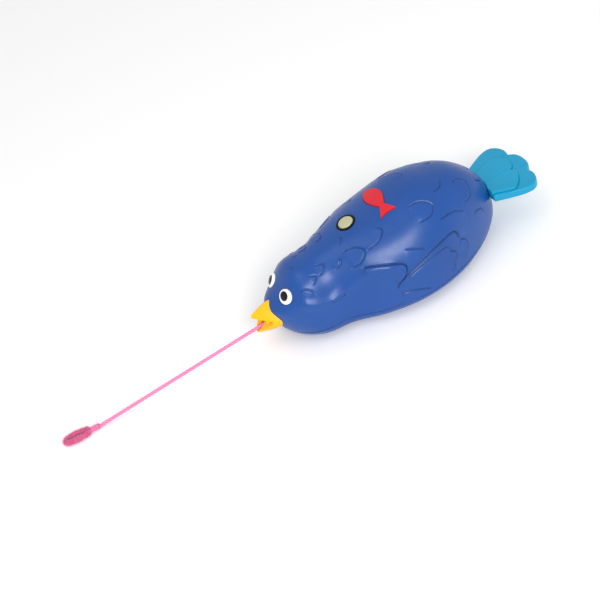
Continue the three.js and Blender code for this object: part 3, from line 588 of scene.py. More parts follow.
class Edge:
    """A line engraved in the surface. The side towards its high direction swells up to it."""

    def __init__(self, points, depth=0.42, width=0.42, lift=0.3, high=(0, -1, 0), fade=2.5, run_out=5.0):
        self.line, normals = on_surface(points)
        self.depth, self.width, self.lift, self.run_out = depth, width, lift, run_out
        lengths = np.linalg.norm(np.diff(self.line, axis=0), axis=1)
        self.along = np.concatenate([[0], np.cumsum(lengths)])
        self.fade = min(fade, self.along[-1] / 2)
        middle = len(self.line) // 2
        ahead = self.line[middle + 1] - self.line[middle - 1]
        self.hand = np.sign(np.dot(np.cross(normals[middle], ahead), high)) or 1

    def offset(self, points, normals):
        """How far out, in millimetres, this line moves points near it. shade is how deep in its
        groove each point lies, from 0 to 1, and is painted as shade in the groove."""
        self.shade = np.zeros(len(points))
        low, high = self.line.min(0) - 2.5 * self.run_out, self.line.max(0) + 2.5 * self.run_out
        near = np.flatnonzero(((points > low) & (points < high)).all(1))
        moved = np.zeros(len(points))
        for part in np.array_split(near, max(1, len(near) // 4000)):
            distance, along, ahead, gap = self.nearest(points[part])
            side = np.einsum("ij,ij->i", np.cross(normals[part], ahead), gap) * self.hand
            ends = smooth_step(along, 0, self.fade) * smooth_step(self.along[-1] - along, 0, self.fade)
            swell = np.where(side > 0, np.exp(-(distance / self.run_out) ** 1.5), 0)
            edge = smooth_step(np.where(side > 0, distance, -distance), -0.15, 0.55)
            groove_and_shade = np.exp(-((distance / self.width) ** 2))
            moved[part] = ends * (self.lift * swell * edge - self.depth * groove_and_shade)
            self.shade[part] = np.maximum(self.shade[part], ends * groove_and_shade * self.depth / 0.5)
        return moved

    def nearest(self, points):
        start, step = self.line[:-1], np.diff(self.line, axis=0)
        length = np.linalg.norm(step, axis=1)
        gap = points[:, None] - start[None]
        t = np.clip(np.einsum("ijk,jk->ij", gap, step) / length**2, 0, 1)
        gap = gap - t[..., None] * step[None]
        distance = np.linalg.norm(gap, axis=2)
        best = distance.argmin(1)
        rows = np.arange(len(points))
        along = self.along[best] + t[rows, best] * length[best]
        return distance[rows, best], along, step[best] / length[best, None], gap[rows, best]


class Ledge(Edge):
    """A broad soft ridge that follows a line."""

    def offset(self, points, normals):
        self.shade = np.zeros(len(points))
        low, high = self.line.min(0) - 3 * self.width, self.line.max(0) + 3 * self.width
        near = np.flatnonzero(((points > low) & (points < high)).all(1))
        moved = np.zeros(len(points))
        for part in np.array_split(near, max(1, len(near) // 4000)):
            distance, along, _, _ = self.nearest(points[part])
            ends = smooth_step(along, 0, self.fade) * smooth_step(self.along[-1] - along, 0, self.fade)
            moved[part] = ends * self.lift * np.exp(-((distance / self.width) ** 2))
        return moved


def feather_lines():
    up = (0, 0, 1)
    lines = []
    for side in (lambda points: points, mirrored):
        lines += [Edge(side(points)) for points in FEATHER_EDGES]
        lines.append(Edge(side(SHOULDER_EDGE), depth=0.5, lift=0.7, run_out=7, width=0.5))
        lines.append(Edge(side(WING_UPPER), depth=0.65, width=0.6, lift=0.45, high=up, run_out=6))
        lines.append(Edge(side(WING_TIPS), depth=0.5, lift=0.5, run_out=4, fade=1.2))
        lines.append(Edge(side(WING_INNER), depth=0.4, width=0.5, lift=0.25, high=up, run_out=3))
        lines.append(Edge(side(WING_INNER_TIPS), depth=0.5, lift=0.5, run_out=4, fade=1.2))
        lines.append(Ledge(side(CHEEK_LEDGE), lift=1.25, width=2.8, fade=7))
    return lines + [Edge(points) for points in ONE_SIDED_EDGES]


# ---- shells ---------------------------------------------------------------------------------------

LATTICE_ALONG = 1024
LATTICE_ROUND = 1024
COARSE_CELL = 16
PLAIN_CELL_MM = 1.3
FINE_CELL_MM = 0.27
SEAM_DEPTH = 0.3
SEAM_WIDTH = 0.4


def lattice_place(i, j):
    """Place along the body and angle round it of a lattice point."""
    turn = math.pi * np.asarray(i, float) / LATTICE_ALONG
    y = HEAD_Y + (BODY_LENGTH - HEAD_Y) * (1 - np.cos(turn)) / 2
    return y, 2 * math.pi * np.asarray(j, float) / LATTICE_ROUND


def refined_cells(lines):
    """Square cells of the lattice, split down to fine ones along the feather lines and the seam."""
    tree = kdtree.KDTree(sum(len(line.line) for line in lines))
    count = 0
    for line in lines:
        if isinstance(line, Ledge):
            continue
        for point in line.line:
            tree.insert(point, count)
            count += 1
    tree.balance()
    waiting = [(i, j, COARSE_CELL) for i in range(0, LATTICE_ALONG, COARSE_CELL)
               for j in range(0, LATTICE_ROUND, COARSE_CELL)]
    leaves = []
    while waiting:
        cells = np.array(waiting)
        size = cells[:, 2]
        middle = surface(*lattice_place(cells[:, 0] + size / 2, cells[:, 1] + size / 2))
        corner = surface(*lattice_place(cells[:, 0], cells[:, 1]))
        other = surface(*lattice_place(cells[:, 0] + size, cells[:, 1] + size))
        width = np.linalg.norm(other - corner, axis=1) / math.sqrt(2)
        waiting = []
        for (i, j, s), point, mm in zip(cells.tolist(), middle, width):
            fine = abs(point[2] - PARTING_Z) < 0.8 + mm
            fine = fine or tree.find(point)[2] < FINE_REACH + 0.7 * mm
            if s > 1 and mm > (FINE_CELL_MM * 1.5 if fine else PLAIN_CELL_MM * 1.5):
                h = s // 2
                waiting += [(i, j, h), (i + h, j, h), (i, j + h, h), (i + h, j + h, h)]
            else:
                leaves.append((i, j, s))
    return leaves


def cell_faces(leaves):
    """Corners of every cell, with the corners of finer neighbours on its edges, as lattice points."""
    def key(i, j):
        return (i, 0) if i in (0, LATTICE_ALONG) else (i, j % LATTICE_ROUND)

    used = {key(i + a, j + b) for i, j, s in leaves for a in (0, s) for b in (0, s)}
    faces = []
    for i, j, s in leaves:
        rim = ([(i, j + k) for k in range(s)] + [(i + k, j + s) for k in range(s)]
               + [(i + s, j + s - k) for k in range(s)] + [(i + s - k, j) for k in range(s)])
        corners = [key(*point) for point in rim if key(*point) in used]
        corners = [c for c, before in zip(corners, corners[-1:] + corners[:-1]) if c != before]
        if len(corners) > 4:
            middle = key(i + s // 2, j + s // 2)
            faces += [[middle, a, b] for a, b in zip(corners, corners[1:] + corners[:1])]
        elif len(corners) > 2:
            faces.append(corners)
    return faces


def outer_skin():
    """The whole body's outside with its feather lines: points in body millimetres, faces, and how
    deep in a groove each point lies, which is painted as shade."""
    lines = feather_lines()
    faces = cell_faces(refined_cells(lines))
    numbers = {}
    for face in faces:
        for corner in face:
            numbers.setdefault(corner, len(numbers))
    where = np.array(list(numbers))
    y, angle = lattice_place(where[:, 0], where[:, 1])
    points = surface(y, angle)
    normals = surface_normal(y, angle)
    offset = sum(line.offset(points, normals) for line in lines)
    shade = np.max([line.shade for line in lines], axis=0)
    offset -= SEAM_DEPTH * np.exp(-(((points[:, 2] - PARTING_Z) / SEAM_WIDTH) ** 2))
    offset[points[:, 2] < 0.6] = 0
    return points + normals * offset[:, None], [[numbers[c] for c in face] for face in faces], shade


def plain_skin(grow, stations=60, around=80):
    """The body's form without its feather lines, grown or shrunk, as points and faces."""
    turn = math.pi * np.arange(1, stations) / stations
    y = (HEAD_Y + (BODY_LENGTH - HEAD_Y) * (1 - np.cos(turn)) / 2)[:, None]
    angle = (2 * math.pi * np.arange(around) / around)[None]
    rings = surface(y, angle, grow=(grow * np.sqrt(np.sin(turn)))[:, None])
    rings[..., 1] -= grow * np.cos(turn)[:, None]
    head = (0, HEAD_Y - grow, float(station(HEAD_Y)[1]))
    rump = (0, BODY_LENGTH + grow, RUMP_POLE_Z)
    points = [head, *map(tuple, rings.reshape(-1, 3)), rump]
    last = 1 + (stations - 2) * around
    faces = []
    for j in range(around):
        k = (j + 1) % around
        faces.append((0, 1 + k, 1 + j))
        faces.append((last + j, last + k, len(points) - 1))
        for start in range(1, last, around):
            faces.append((start + j, start + k, start + around + k, start + around + j))
    return points, faces


def shell_mesh(name, outside, inside, height, upper):
    """One shell: the outside and inside on one side of a level plane, joined by a flat rim."""
    made = bmesh.new()
    # This layer carries how deep in a groove each point lies, which the material paints as shade.
    groove_and_shade = made.verts.layers.float.new("groove_and_shade")
    for points, faces, shades in (outside, (*inside, np.zeros(len(inside[0])))):
        corners = [made.verts.new(p) for p in points]
        for corner, shade in zip(corners, shades):
            corner[groove_and_shade] = shade
        for face in faces:
            made.faces.new([corners[c] for c in face])
    bmesh.ops.remove_doubles(made, verts=made.verts, dist=0.004)
    bmesh.ops.bisect_plane(made, geom=made.verts[:] + made.edges[:] + made.faces[:], dist=1e-5,
                           plane_co=(0, 0, height), plane_no=(0, 0, 1), clear_inner=upper,
                           clear_outer=not upper)
    rim = [edge for edge in made.edges if edge.is_boundary]
    bmesh.ops.triangle_fill(made, edges=rim, use_beauty=True, normal=(0, 0, -1 if upper else 1))
    bmesh.ops.recalc_face_normals(made, faces=made.faces)
    bmesh.ops.scale(made, vec=(MM, MM, MM), verts=made.verts)
    bmesh.ops.translate(made, vec=(0, -MID_Y * MM, 0), verts=made.verts)
    mesh = bpy.data.meshes.new(name)
    made.to_mesh(mesh)
    made.free()
    piece = bpy.data.objects.new(name, mesh)
    bpy.context.scene.collection.objects.link(piece)
    mesh.materials.append(BLUE)
    return piece


# ---- cord and loop --------------------------------------------------------------------------------

# The cord's straight line, in metres: from the mouth down to the table, a little to the right.
MOUTH = Vector((0, -0.0883, 0.0166))
CORD_END = Vector((-0.01075, -0.194, 0.0012))
CORD_RADIUS = 0.001
CORD_INSIDE = 0.023
GAP = 0.0003
LOOP_LENGTH = 0.015
LOOP_START = 0.0006
LOOP_HALF_WIDTH = 0.0025
LEG_SPACING = 0.00095
LOOP_Z = 0.00175
CRIMP_LENGTH = 0.005

cord_out = (CORD_END - MOUTH).normalized()
loop_heading = Vector((cord_out.x, cord_out.y, 0)).normalized()
loop_sideways = Vector((-loop_heading.y, loop_heading.x, 0))
crimp_start = CORD_END + cord_out * GAP
crimp_end = crimp_start + loop_heading * CRIMP_LENGTH
crimp_start.z = LOOP_Z
crimp_end.z = LOOP_Z


def tube_frames(path):
    """A steady pair of directions across a path, at each of its points."""
    frames = []
    first, _ = across_pair(path[1] - path[0])
    for before, after in zip([path[0], *path[:-1]], [*path[1:], path[-1]]):
        ahead = (after - before).normalized()
        first = (first - ahead * first.dot(ahead)).normalized()
        frames.append((first, ahead.cross(first)))
    return frames


def tube(name, path, radius, sides, material, relief=None):
    """A closed tube along a path. relief gives the share of the radius, and the painted strand shade, from a
    place along the path in metres and an angle round it."""
    points, faces, shades = [], [], []
    travelled = 0.0
    for k, (centre, (first, second)) in enumerate(zip(path, tube_frames(path))):
        if k:
            travelled += (path[k] - path[k - 1]).length
        for j in range(sides):
            angle = 2 * math.pi * j / sides
            share, shade = relief(travelled, angle) if relief else (1.0, 0.5)
            points.append(centre + radius * share * (first * math.cos(angle) + second * math.sin(angle)))
            shades.append(shade)
    for k in range(len(path) - 1):
        for j in range(sides):
            a, b = k * sides + j, k * sides + (j + 1) % sides
            faces.append((a, b, b + sides, a + sides))
    faces.append(tuple(reversed(range(sides))))
    faces.append(tuple(range((len(path) - 1) * sides, len(path) * sides)))
    piece = mesh_object(name, points, faces, material, smooth_angle=75)
    layer = piece.data.attributes.new("strand_shade", "FLOAT", "POINT")
    layer.data.foreach_set("value", shades)
    return piece


BRAID_PITCH = 0.0046
BRAID_STRANDS = 4


def braid(travelled, angle):
    """Two sets of strands wound opposite ways, each passing over and under the other."""
    twist = 2 * math.pi * travelled / BRAID_PITCH
    one = math.cos(BRAID_STRANDS * (angle + twist / 2))
    other = math.cos(BRAID_STRANDS * (angle - twist / 2))
    over = math.cos(BRAID_STRANDS * angle * 2)
    height = max(one + 0.25 * over, other - 0.25 * over)
    # The second value is painted shade: darker in the hollows between the strands, lighter where they cross over.
    return 1 + 0.05 * (height - 0.6), 0.5 + 0.5 * max(-1.0, min(1.0, height))


def straight(start, stop, step):
    count = max(2, round((stop - start).length / step))
    return [start.lerp(stop, k / count) for k in range(count + 1)]


def loop_point(angle):
    """A narrow drop: out along one leg, round the far end, back along the other."""
    reach = LOOP_LENGTH * (1 - math.cos(angle)) / 2
    bow = math.sin(angle) * max(math.sin(angle / 2), 0) ** 0.6
    spread = LEG_SPACING * math.cos(angle / 2) + LOOP_HALF_WIDTH * bow
    return crimp_end + loop_heading * (LOOP_START + reach) + loop_sideways * spread


LOOP_STEPS = 160
loop_path = [loop_point(2 * math.pi * k / LOOP_STEPS) for k in range(LOOP_STEPS + 1)]


def add_fibres(name, path, material, count, root, length, seed):
    """Pile: thin tapered fibres that stand out all round a path, each bent a little by chance."""
    chance = random.Random(seed)
    frames = tube_frames(path)
    points, faces, shades = [], [], []
    for _ in range(count):
        k = chance.randrange(len(path))
        first, second = frames[k]
        angle = chance.uniform(0, 2 * math.pi)
        ahead = first.cross(second)
        out = first * math.cos(angle) + second * math.sin(angle)
        lean = (out + ahead * chance.uniform(-0.9, 0.9)).normalized()
        swirl = Vector([chance.uniform(-1, 1) for _ in range(3)])
        reach = length * chance.uniform(0.55, 1.25)
        thick = 0.0001 * chance.uniform(0.7, 1.3)
        side = lean.cross(swirl).normalized()
        other = lean.cross(side)
        base = len(points)
        for row in range(4):
            t = row / 3
            middle = path[k] + out * root + lean * reach * t + swirl * reach * 0.35 * t * t
            middle.z = max(middle.z, 0.00025)
            width = thick * (1 - 0.8 * t)
            for corner in range(3):
                turn = 2 * math.pi * corner / 3
                points.append(middle + width * (side * math.cos(turn) + other * math.sin(turn)))
                # Painted shade: each fibre's shade value runs from 0 at its root, deep in the pile, to 1 at its
                # tip.
                shades.append(t)
        for row in range(3):
            for corner in range(3):
                a, b = base + 3 * row + corner, base + 3 * row + (corner + 1) % 3
                faces.append((a, b, b + 3, a + 3))
        faces.append((base, base + 2, base + 1))
        faces.append((base + 9, base + 10, base + 11))
    piece = mesh_object(name, points, faces, material, smooth_angle=180)
    layer = piece.data.attributes.new("strand_shade", "FLOAT", "POINT")
    layer.data.foreach_set("value", shades)
    return piece


def add_cord():
    start = MOUTH - cord_out * CORD_INSIDE
    path = straight(start, CORD_END, 0.00022)
    cord = tube("pull_cord_braid", path, CORD_RADIUS, 28, CORD, braid)
    settle(cord, "cord", "pink_cord", "pull_cord")
    loop = tube("loop_core", loop_path, 0.00075, 16, CORD)
    settle(loop, "cord", "pink_cord", "finger_loop")
    covered = loop_path[round(0.07 * LOOP_STEPS):round(0.93 * LOOP_STEPS) + 1]
    sleeve = tube("loop_sleeve_backing", covered, 0.0009, 18, PILE)
    settle(sleeve, "cord", "pink_pile", "loop_sleeve")
    pile = add_fibres("loop_sleeve_pile", [*straight(crimp_start, crimp_end, 0.0005), *covered], PILE, 6200,
                      0.0007, 0.0011, seed=7)
    settle(pile, "cord", "pink_pile")
    # The binding's colour follows its turns, darker in the hollows between them: painted shade.
    crimp = tube("loop_crimp_binding", straight(crimp_start, crimp_end, 0.00016), 0.0014, 24, CORD,
                 lambda travelled, angle: (0.92 + 0.08 * abs(math.sin(travelled * 5200)),
                                           0.25 + 0.5 * abs(math.sin(travelled * 5200))))
    settle(crimp, "cord", "pink_cord", "loop_crimp")


add_cord()


# ---- shells as pieces -----------------------------------------------------------------------------

BUTTON_Y = 62.2
BUTTON_RADIUS = 4.4
COLLAR_INSIDE = BUTTON_RADIUS + 0.3
COLLAR_OUTSIDE = COLLAR_INSIDE + 0.8
EYE_Y = 13.3
EYE_TURN = 0.2
EYE_ANGLE = 1.03
EYE_RADIUS = 4.4
PUPIL_RADIUS = 2.7
BADGE_Y = 83.0
SHELL_SCREWS = [(-14, 36), (14, 36), (-23, 116), (23, 116)]
TAIL_ROOT_Y = 150.0
TAIL_TOP_Z = 29.4
TAIL_TIP_Y = 177.2
TONGUE_HALF_WIDTH = 6.5

mouth = Vector((MOUTH.x / MM, MOUTH.y / MM + MID_Y, MOUTH.z / MM))
cord_in = -cord_out
button_seat, button_out = seat(BUTTON_Y, math.pi / 2)


def eye_seat(side):
    """A point of the head and the eye's axis there, which is turned forward a little."""
    point, out = seat(EYE_Y, EYE_ANGLE, side)
    return point, (out - Vector((0, EYE_TURN, 0))).normalized()


eyes = {"left": eye_seat(1), "right": eye_seat(-1)}


def plug(profile, origin, direction, sides=48):
    return turned("cutter", profile, origin, direction, BLUE, sides)


def block(x0, x1, y0, y1, z0, z1):
    points = [(x, y, z) for x in (x0, x1) for y in (y0, y1) for z in (z0, z1)]
    faces = [(0, 1, 3, 2), (4, 6, 7, 5), (0, 4, 5, 1), (2, 3, 7, 6), (0, 2, 6, 4), (1, 5, 7, 3)]
    return mesh_object("cutter", placed(points), faces, BLUE)


def post(x, y, z0, z1, radius, sides=40):
    return plug([(0, z0), (radius, z0), (radius, z1), (0, z1)], (x, y, 0), (0, 0, 1), sides)


def body_solid(grow):
    """The body's plain form as one closed piece, for cutting others."""
    points, faces = plain_skin(grow)
    piece = mesh_object("cutter", placed(points), faces, BLUE)
    outward(piece)
    return piece


def extruded(outline, z0, z1, material=None):
    """An upright prism over an outline of (x, y) points."""
    count = len(outline)
    points = [(x, y, z) for z in (z0, z1) for x, y in outline]
    faces = [tuple(range(count)), tuple(range(2 * count - 1, count - 1, -1))]
    faces += [(k, (k + 1) % count, count + (k + 1) % count, count + k) for k in range(count)]
    piece = mesh_object("cutter", placed(points), faces, material or BLUE)
    outward(piece)
    return piece


def fish_outline(grow=0.0, steps=14):
    """A plain fish from above, across the back: a leaf-shaped body and a forked tail."""
    length, height = 27 + 2 * grow, 12 + 2 * grow

    def bend(start, middle, stop):
        run = []
        for k in range(steps):
            t = k / steps
            run.append(tuple((1 - t) ** 2 * a + 2 * t * (1 - t) * b + t * t * c
                             for a, b, c in zip(start, middle, stop)))
        return run

    nose, waist = (-length / 2, 0), (length * 0.24, height * 0.12)
    tip = (length / 2, height * 0.42)
    upper = bend(nose, (-length * 0.2, height * 0.78), waist) + [waist]
    fork = bend(tip, (length * 0.42, 0), (tip[0], -tip[1])) + [(tip[0], -tip[1])]
    lower = [(x, -y) for x, y in reversed(upper)][:-1]
    return [(x, y + BADGE_Y) for x, y in upper + fork + lower]


def badge_pocket():
    pocket = extruded(fish_outline(0.3), 40, 75)
    cut(pocket, body_solid(-0.9))
    return pocket


def add_shells():
    outside, inside = outer_skin(), plain_skin(-WALL)
    half_gap = PARTING_GAP / 2
    upper = shell_mesh("upper_shell_feathered", outside, inside, PARTING_Z + half_gap, True)
    lower = shell_mesh("lower_shell_feathered", outside, inside, PARTING_Z - half_gap, False)
    beak_hole = [(0, -4), (5.5, -4), (5.5, 16), (0, 16)]
    openings = [plug([(0, -12), (COLLAR_OUTSIDE + 0.3, -12), (COLLAR_OUTSIDE + 0.3, 6), (0, 6)],
                     button_seat, button_out, 64)]
    eye_hole = EYE_RADIUS + 0.3
    for point, out in eyes.values():
        openings.append(plug([(0, -1.5), (eye_hole, -1.5), (eye_hole, 4), (0, 4)], point, out, 64))
    openings.append(block(-TONGUE_HALF_WIDTH - 0.3, TONGUE_HALF_WIDTH + 0.3, 138, 152,
                          TAIL_TOP_Z - 5.3, TAIL_TOP_Z - 1))
    openings.append(plug(beak_hole, mouth, cord_in))
    openings.append(badge_pocket())
    cut(upper, joined("upper_openings", openings))
    openings = [post(x, y, -1, 3.4, 3.2) for x, y in SHELL_SCREWS]
    openings.append(plug(beak_hole, mouth, cord_in))
    cut(lower, joined("lower_openings", openings))
    for shell, node in ((upper, "upper_shell"), (lower, "lower_shell")):
        finish_mesh(shell.data, smooth_angle=70)
        settle(shell, "bird_body", "blue_plastic", node)


add_shells()


# ---- face -----------------------------------------------------------------------------------------

def rounded(profile, radius, steps=4):
    """A turned profile with its corners rounded off, apart from its two ends."""
    run = [profile[0]]
    for before, corner, after in zip(profile, profile[1:], profile[2:]):
        corner = Vector(corner)
        back, on = Vector(before) - corner, Vector(after) - corner
        reach = min(radius, back.length * 0.45, on.length * 0.45)
        start, stop = corner + back.normalized() * reach, corner + on.normalized() * reach
        for k in range(steps + 1):
            t = k / steps
            run.append(tuple((1 - t) ** 2 * start + 2 * t * (1 - t) * corner + t * t * stop))
    return run + [profile[-1]]


def dome(radius, edge, crown, steps=8):
    """The top of a domed disc, from its rim to its axis."""
    turns = [math.pi / 2 * k / steps for k in range(steps)]
    rise = crown - edge
    return [(radius * math.cos(turn), edge + rise * math.sin(turn)) for turn in turns] + [(0, crown)]


def add_eyes():
    for side, (point, out) in eyes.items():
        gaze = Vector((0, -0.65, 0.94))
        middle = point + gaze - out * gaze.dot(out)
        white = rounded([(0, -1.1), (EYE_RADIUS, -1.1), (EYE_RADIUS, 0.35),
                         (EYE_RADIUS - 0.6, 0.95), (0, 1.2)], 0.5)
        disc = turned(f"eye_white_{side}_disc", white, point, out, WHITE)
        hole = plug([(0, 0.4), (PUPIL_RADIUS + 0.12, 0.4), (PUPIL_RADIUS + 0.12, 3), (0, 3)], middle, out, 64)
        cut(disc, hole)
        finish_mesh(disc.data, 40)
        settle(disc, "bird_body", "white_plastic", f"eye_white_{side}")
        bead = [(0, 0.7), (PUPIL_RADIUS, 0.7), *dome(PUPIL_RADIUS, 1.05, 1.6)]
        pupil = turned(f"eye_pupil_{side}_bead", bead, middle, out, BLACK)
        settle(pupil, "bird_body", "black_plastic", f"eye_pupil_{side}")


BEAK_STATIONS = [(9, 9.8, 30.4, 12), (4.6, 9.6, 30.2, 12.2), (0, 7.9, 29.4, 12.4), (-3.6, 5.2, 28.3, 12.6),
                 (-6, 3, 27.4, 13), (-7.2, 1.5, 26.7, 13.8)]
BEAK_CORNER_Z = 20.5
BEAK_RIDGE_POWER = 1.25
BEAK_KEEL_POWER = 1.9
BEAK_SIDES = 72
BEAK_ROUNDING = 0.7


def beak_cone():
    """The closed beak: rings of (y, half width, top, bottom), with a rounded nose."""
    half_width, top, bottom = (curve_through([(-s[0], s[k]) for s in BEAK_STATIONS]) for k in (1, 2, 3))
    tip = -BEAK_STATIONS[-1][0]
    places = [(-9 + (tip - BEAK_ROUNDING + 9) * k / 40, 1.0) for k in range(40)]
    places += [(tip - BEAK_ROUNDING * (1 - math.sin(a)), 0.25 + 0.75 * math.cos(a) ** 0.8)
               for a in np.linspace(0, math.pi / 2 * 0.96, 8)]
    points, faces = [], []
    for place_y, share in places:
        w, t, b = (float(f(place_y)) for f in (half_width, top, bottom))
        for k in range(BEAK_SIDES):
            angle = 2 * math.pi * k / BEAK_SIDES
            upper = math.sin(angle) >= 0
            power = 2 / (BEAK_RIDGE_POWER if upper else BEAK_KEEL_POWER)
            across = math.copysign(abs(math.cos(angle)) ** power, math.cos(angle))
            along = abs(math.sin(angle)) ** power
            reach = t - BEAK_CORNER_Z if upper else BEAK_CORNER_Z - b
            inset = (1 - share) * 1.2
            height = BEAK_CORNER_Z + math.copysign(along * (reach - inset), 1 if upper else -1)
            points.append((w * across * (0.55 + 0.45 * share), -place_y, height))
    rings = len(places)
    for i in range(rings - 1):
        for k in range(BEAK_SIDES):
            j = (k + 1) % BEAK_SIDES
            near, far = i * BEAK_SIDES, (i + 1) * BEAK_SIDES
            faces.append((near + k, near + j, far + j, far + k))
    faces.append(tuple(reversed(range(BEAK_SIDES))))
    faces.append(tuple(range((rings - 1) * BEAK_SIDES, rings * BEAK_SIDES)))
    cone = mesh_object("beak_halves", placed(points), faces, YELLOW)
    outward(cone)
    return cone


def prism_across(outline, half_width, name="cutter"):
    """An outline of (y, z) points carried across from the right to the left."""
    count = len(outline)
    points = [(x, y, z) for x in (-half_width, half_width) for y, z in outline]
    faces = [tuple(range(count)), tuple(range(2 * count - 1, count - 1, -1))]
    faces += [(k, (k + 1) % count, count + (k + 1) % count, count + k) for k in range(count)]
    piece = mesh_object(name, placed(points), faces, YELLOW)
    outward(piece)
    return piece


def add_beak():
    beak = beak_cone()
    gape = prism_across([(1.4, 21.9), (1.9, 21.3), (1.4, 20.6), (-14, 10.4), (-14, 27.5)], 20)
    cut(beak, gape, body_solid(0.12))
    cut(beak, plug([(0, 3), (5.2, 3), (5.2, 13.5), (0, 13.5)], mouth, cord_in), operation="UNION")
    cut(beak, plug([(0, -10), (1.8, -10), (2, 1.5), (2, 20), (0, 20)], mouth, cord_in))
    cut(beak, plug([(0, 11.5), (3.6, 11.5), (3.6, 20), (0, 20)], mouth, cord_in))
    finish_mesh(beak.data, 32)
    soften_edges(beak, 0.35, angle=32, segments=3)
    settle(beak, "bird_body", "yellow_plastic", "beak")


add_eyes()
add_beak()


# ---- tail -----------------------------------------------------------------------------------------

# Outlines and feather lines of the tail, as (x, y) from above. Each run is one smooth curve, and the
# runs meet in the notches between the lobes. The lower layer's runs are its left half.
LOWER_RUNS = [
    [(15, 146), (17.5, 150.5), (20.5, 156.5), (22.8, 162), (23.3, 167.6), (20.2, 171.7), (15, 173.6),
     (9.6, 172.9)],
    [(9.6, 172.9), (6.8, 175.8), (3.2, 177), (0, 177.2)],
]
UPPER_RUNS = [
    [(12.6, 146), (16.2, 152.5), (18.8, 158), (17.1, 161.2), (14.1, 164), (10.9, 166), (7.2, 166.9),
     (3.8, 165.3)],
    [(3.8, 165.3), (2, 167.8), (-1.8, 169.1), (-5.6, 169), (-9.6, 167.6), (-12, 165), (-12.7, 162.2),
     (-11.8, 158), (-10.6, 154.5), (-9, 150.5), (-7.5, 146)],
]
TAIL_LINES = [
    [(2, 148), (2, 150.1), (2.3, 154.1), (2.2, 158.7), (2.9, 163.9), (3.8, 165.3)],
    [(3.8, 165.3), (4.4, 167.2), (5, 170.2), (5.6, 173.6), (6.3, 175.1)],
    [(-12.7, 162.7), (-11.6, 166.7), (-10.6, 168.8), (-9.6, 171.2), (-9.3, 172.5)],
    [(15.3, 147.4), (17.3, 151.3), (19.2, 156)],
]
TAIL_PITCH = math.radians(2.5)
TAIL_THICK = 5.4
FEATHER_RISE = 1.3
TAIL_POST_Y = 142.6
TAIL_GRID = 0.34
TAIL_ROUNDING = 0.8


class FlatEdge(Edge):
    """An engraved line on a level surface."""

    def __init__(self, points, depth, width, lift=0.0, run_out=3.0, fade=1.5):
        self.line = np.array([(x, y, 0) for x, y in spline(points, 0.3)[:, :2]])
        self.depth, self.width, self.lift = depth, width, lift
        self.run_out, self.fade, self.hand = run_out, fade, 1
        self.along = np.concatenate([[0], np.cumsum(np.linalg.norm(np.diff(self.line, axis=0), axis=1))])


def smooth_runs(runs, step=0.3):
    return np.concatenate([spline(run, step)[:-1] for run in runs])


def inside_outline(points, outline):
    """Which points lie inside a closed outline, by counting crossings."""
    x, y = points[:, 0, None], points[:, 1, None]
    x0, y0 = outline[:, 0], outline[:, 1]
    x1, y1 = np.roll(x0, -1), np.roll(y0, -1)
    crosses = ((y0 > y) != (y1 > y)) & (x < (x1 - x0) * (y - y0) / (y1 - y0 + 1e-12) + x0)
    return crosses.sum(1) % 2 == 1


def outline_distance(points, outline):
    """Distance to a closed outline, positive inside it."""
    closed = FlatEdge.__new__(FlatEdge)
    closed.line = np.column_stack([np.vstack([outline, outline[:1]]), np.zeros(len(outline) + 1)])
    closed.along = np.concatenate([[0], np.cumsum(np.linalg.norm(np.diff(closed.line, axis=0), axis=1))])
    flat = np.column_stack([points, np.zeros(len(points))])
    parts = np.array_split(flat, max(1, len(flat) // 4000))
    distance = np.concatenate([closed.nearest(part)[0] for part in parts])
    return np.where(inside_outline(points, outline), distance, -distance)


def tail_outline():
    half = smooth_runs(LOWER_RUNS)
    return np.concatenate([half, [(0, TAIL_TIP_Y)], (half * (-1, 1))[::-1]])


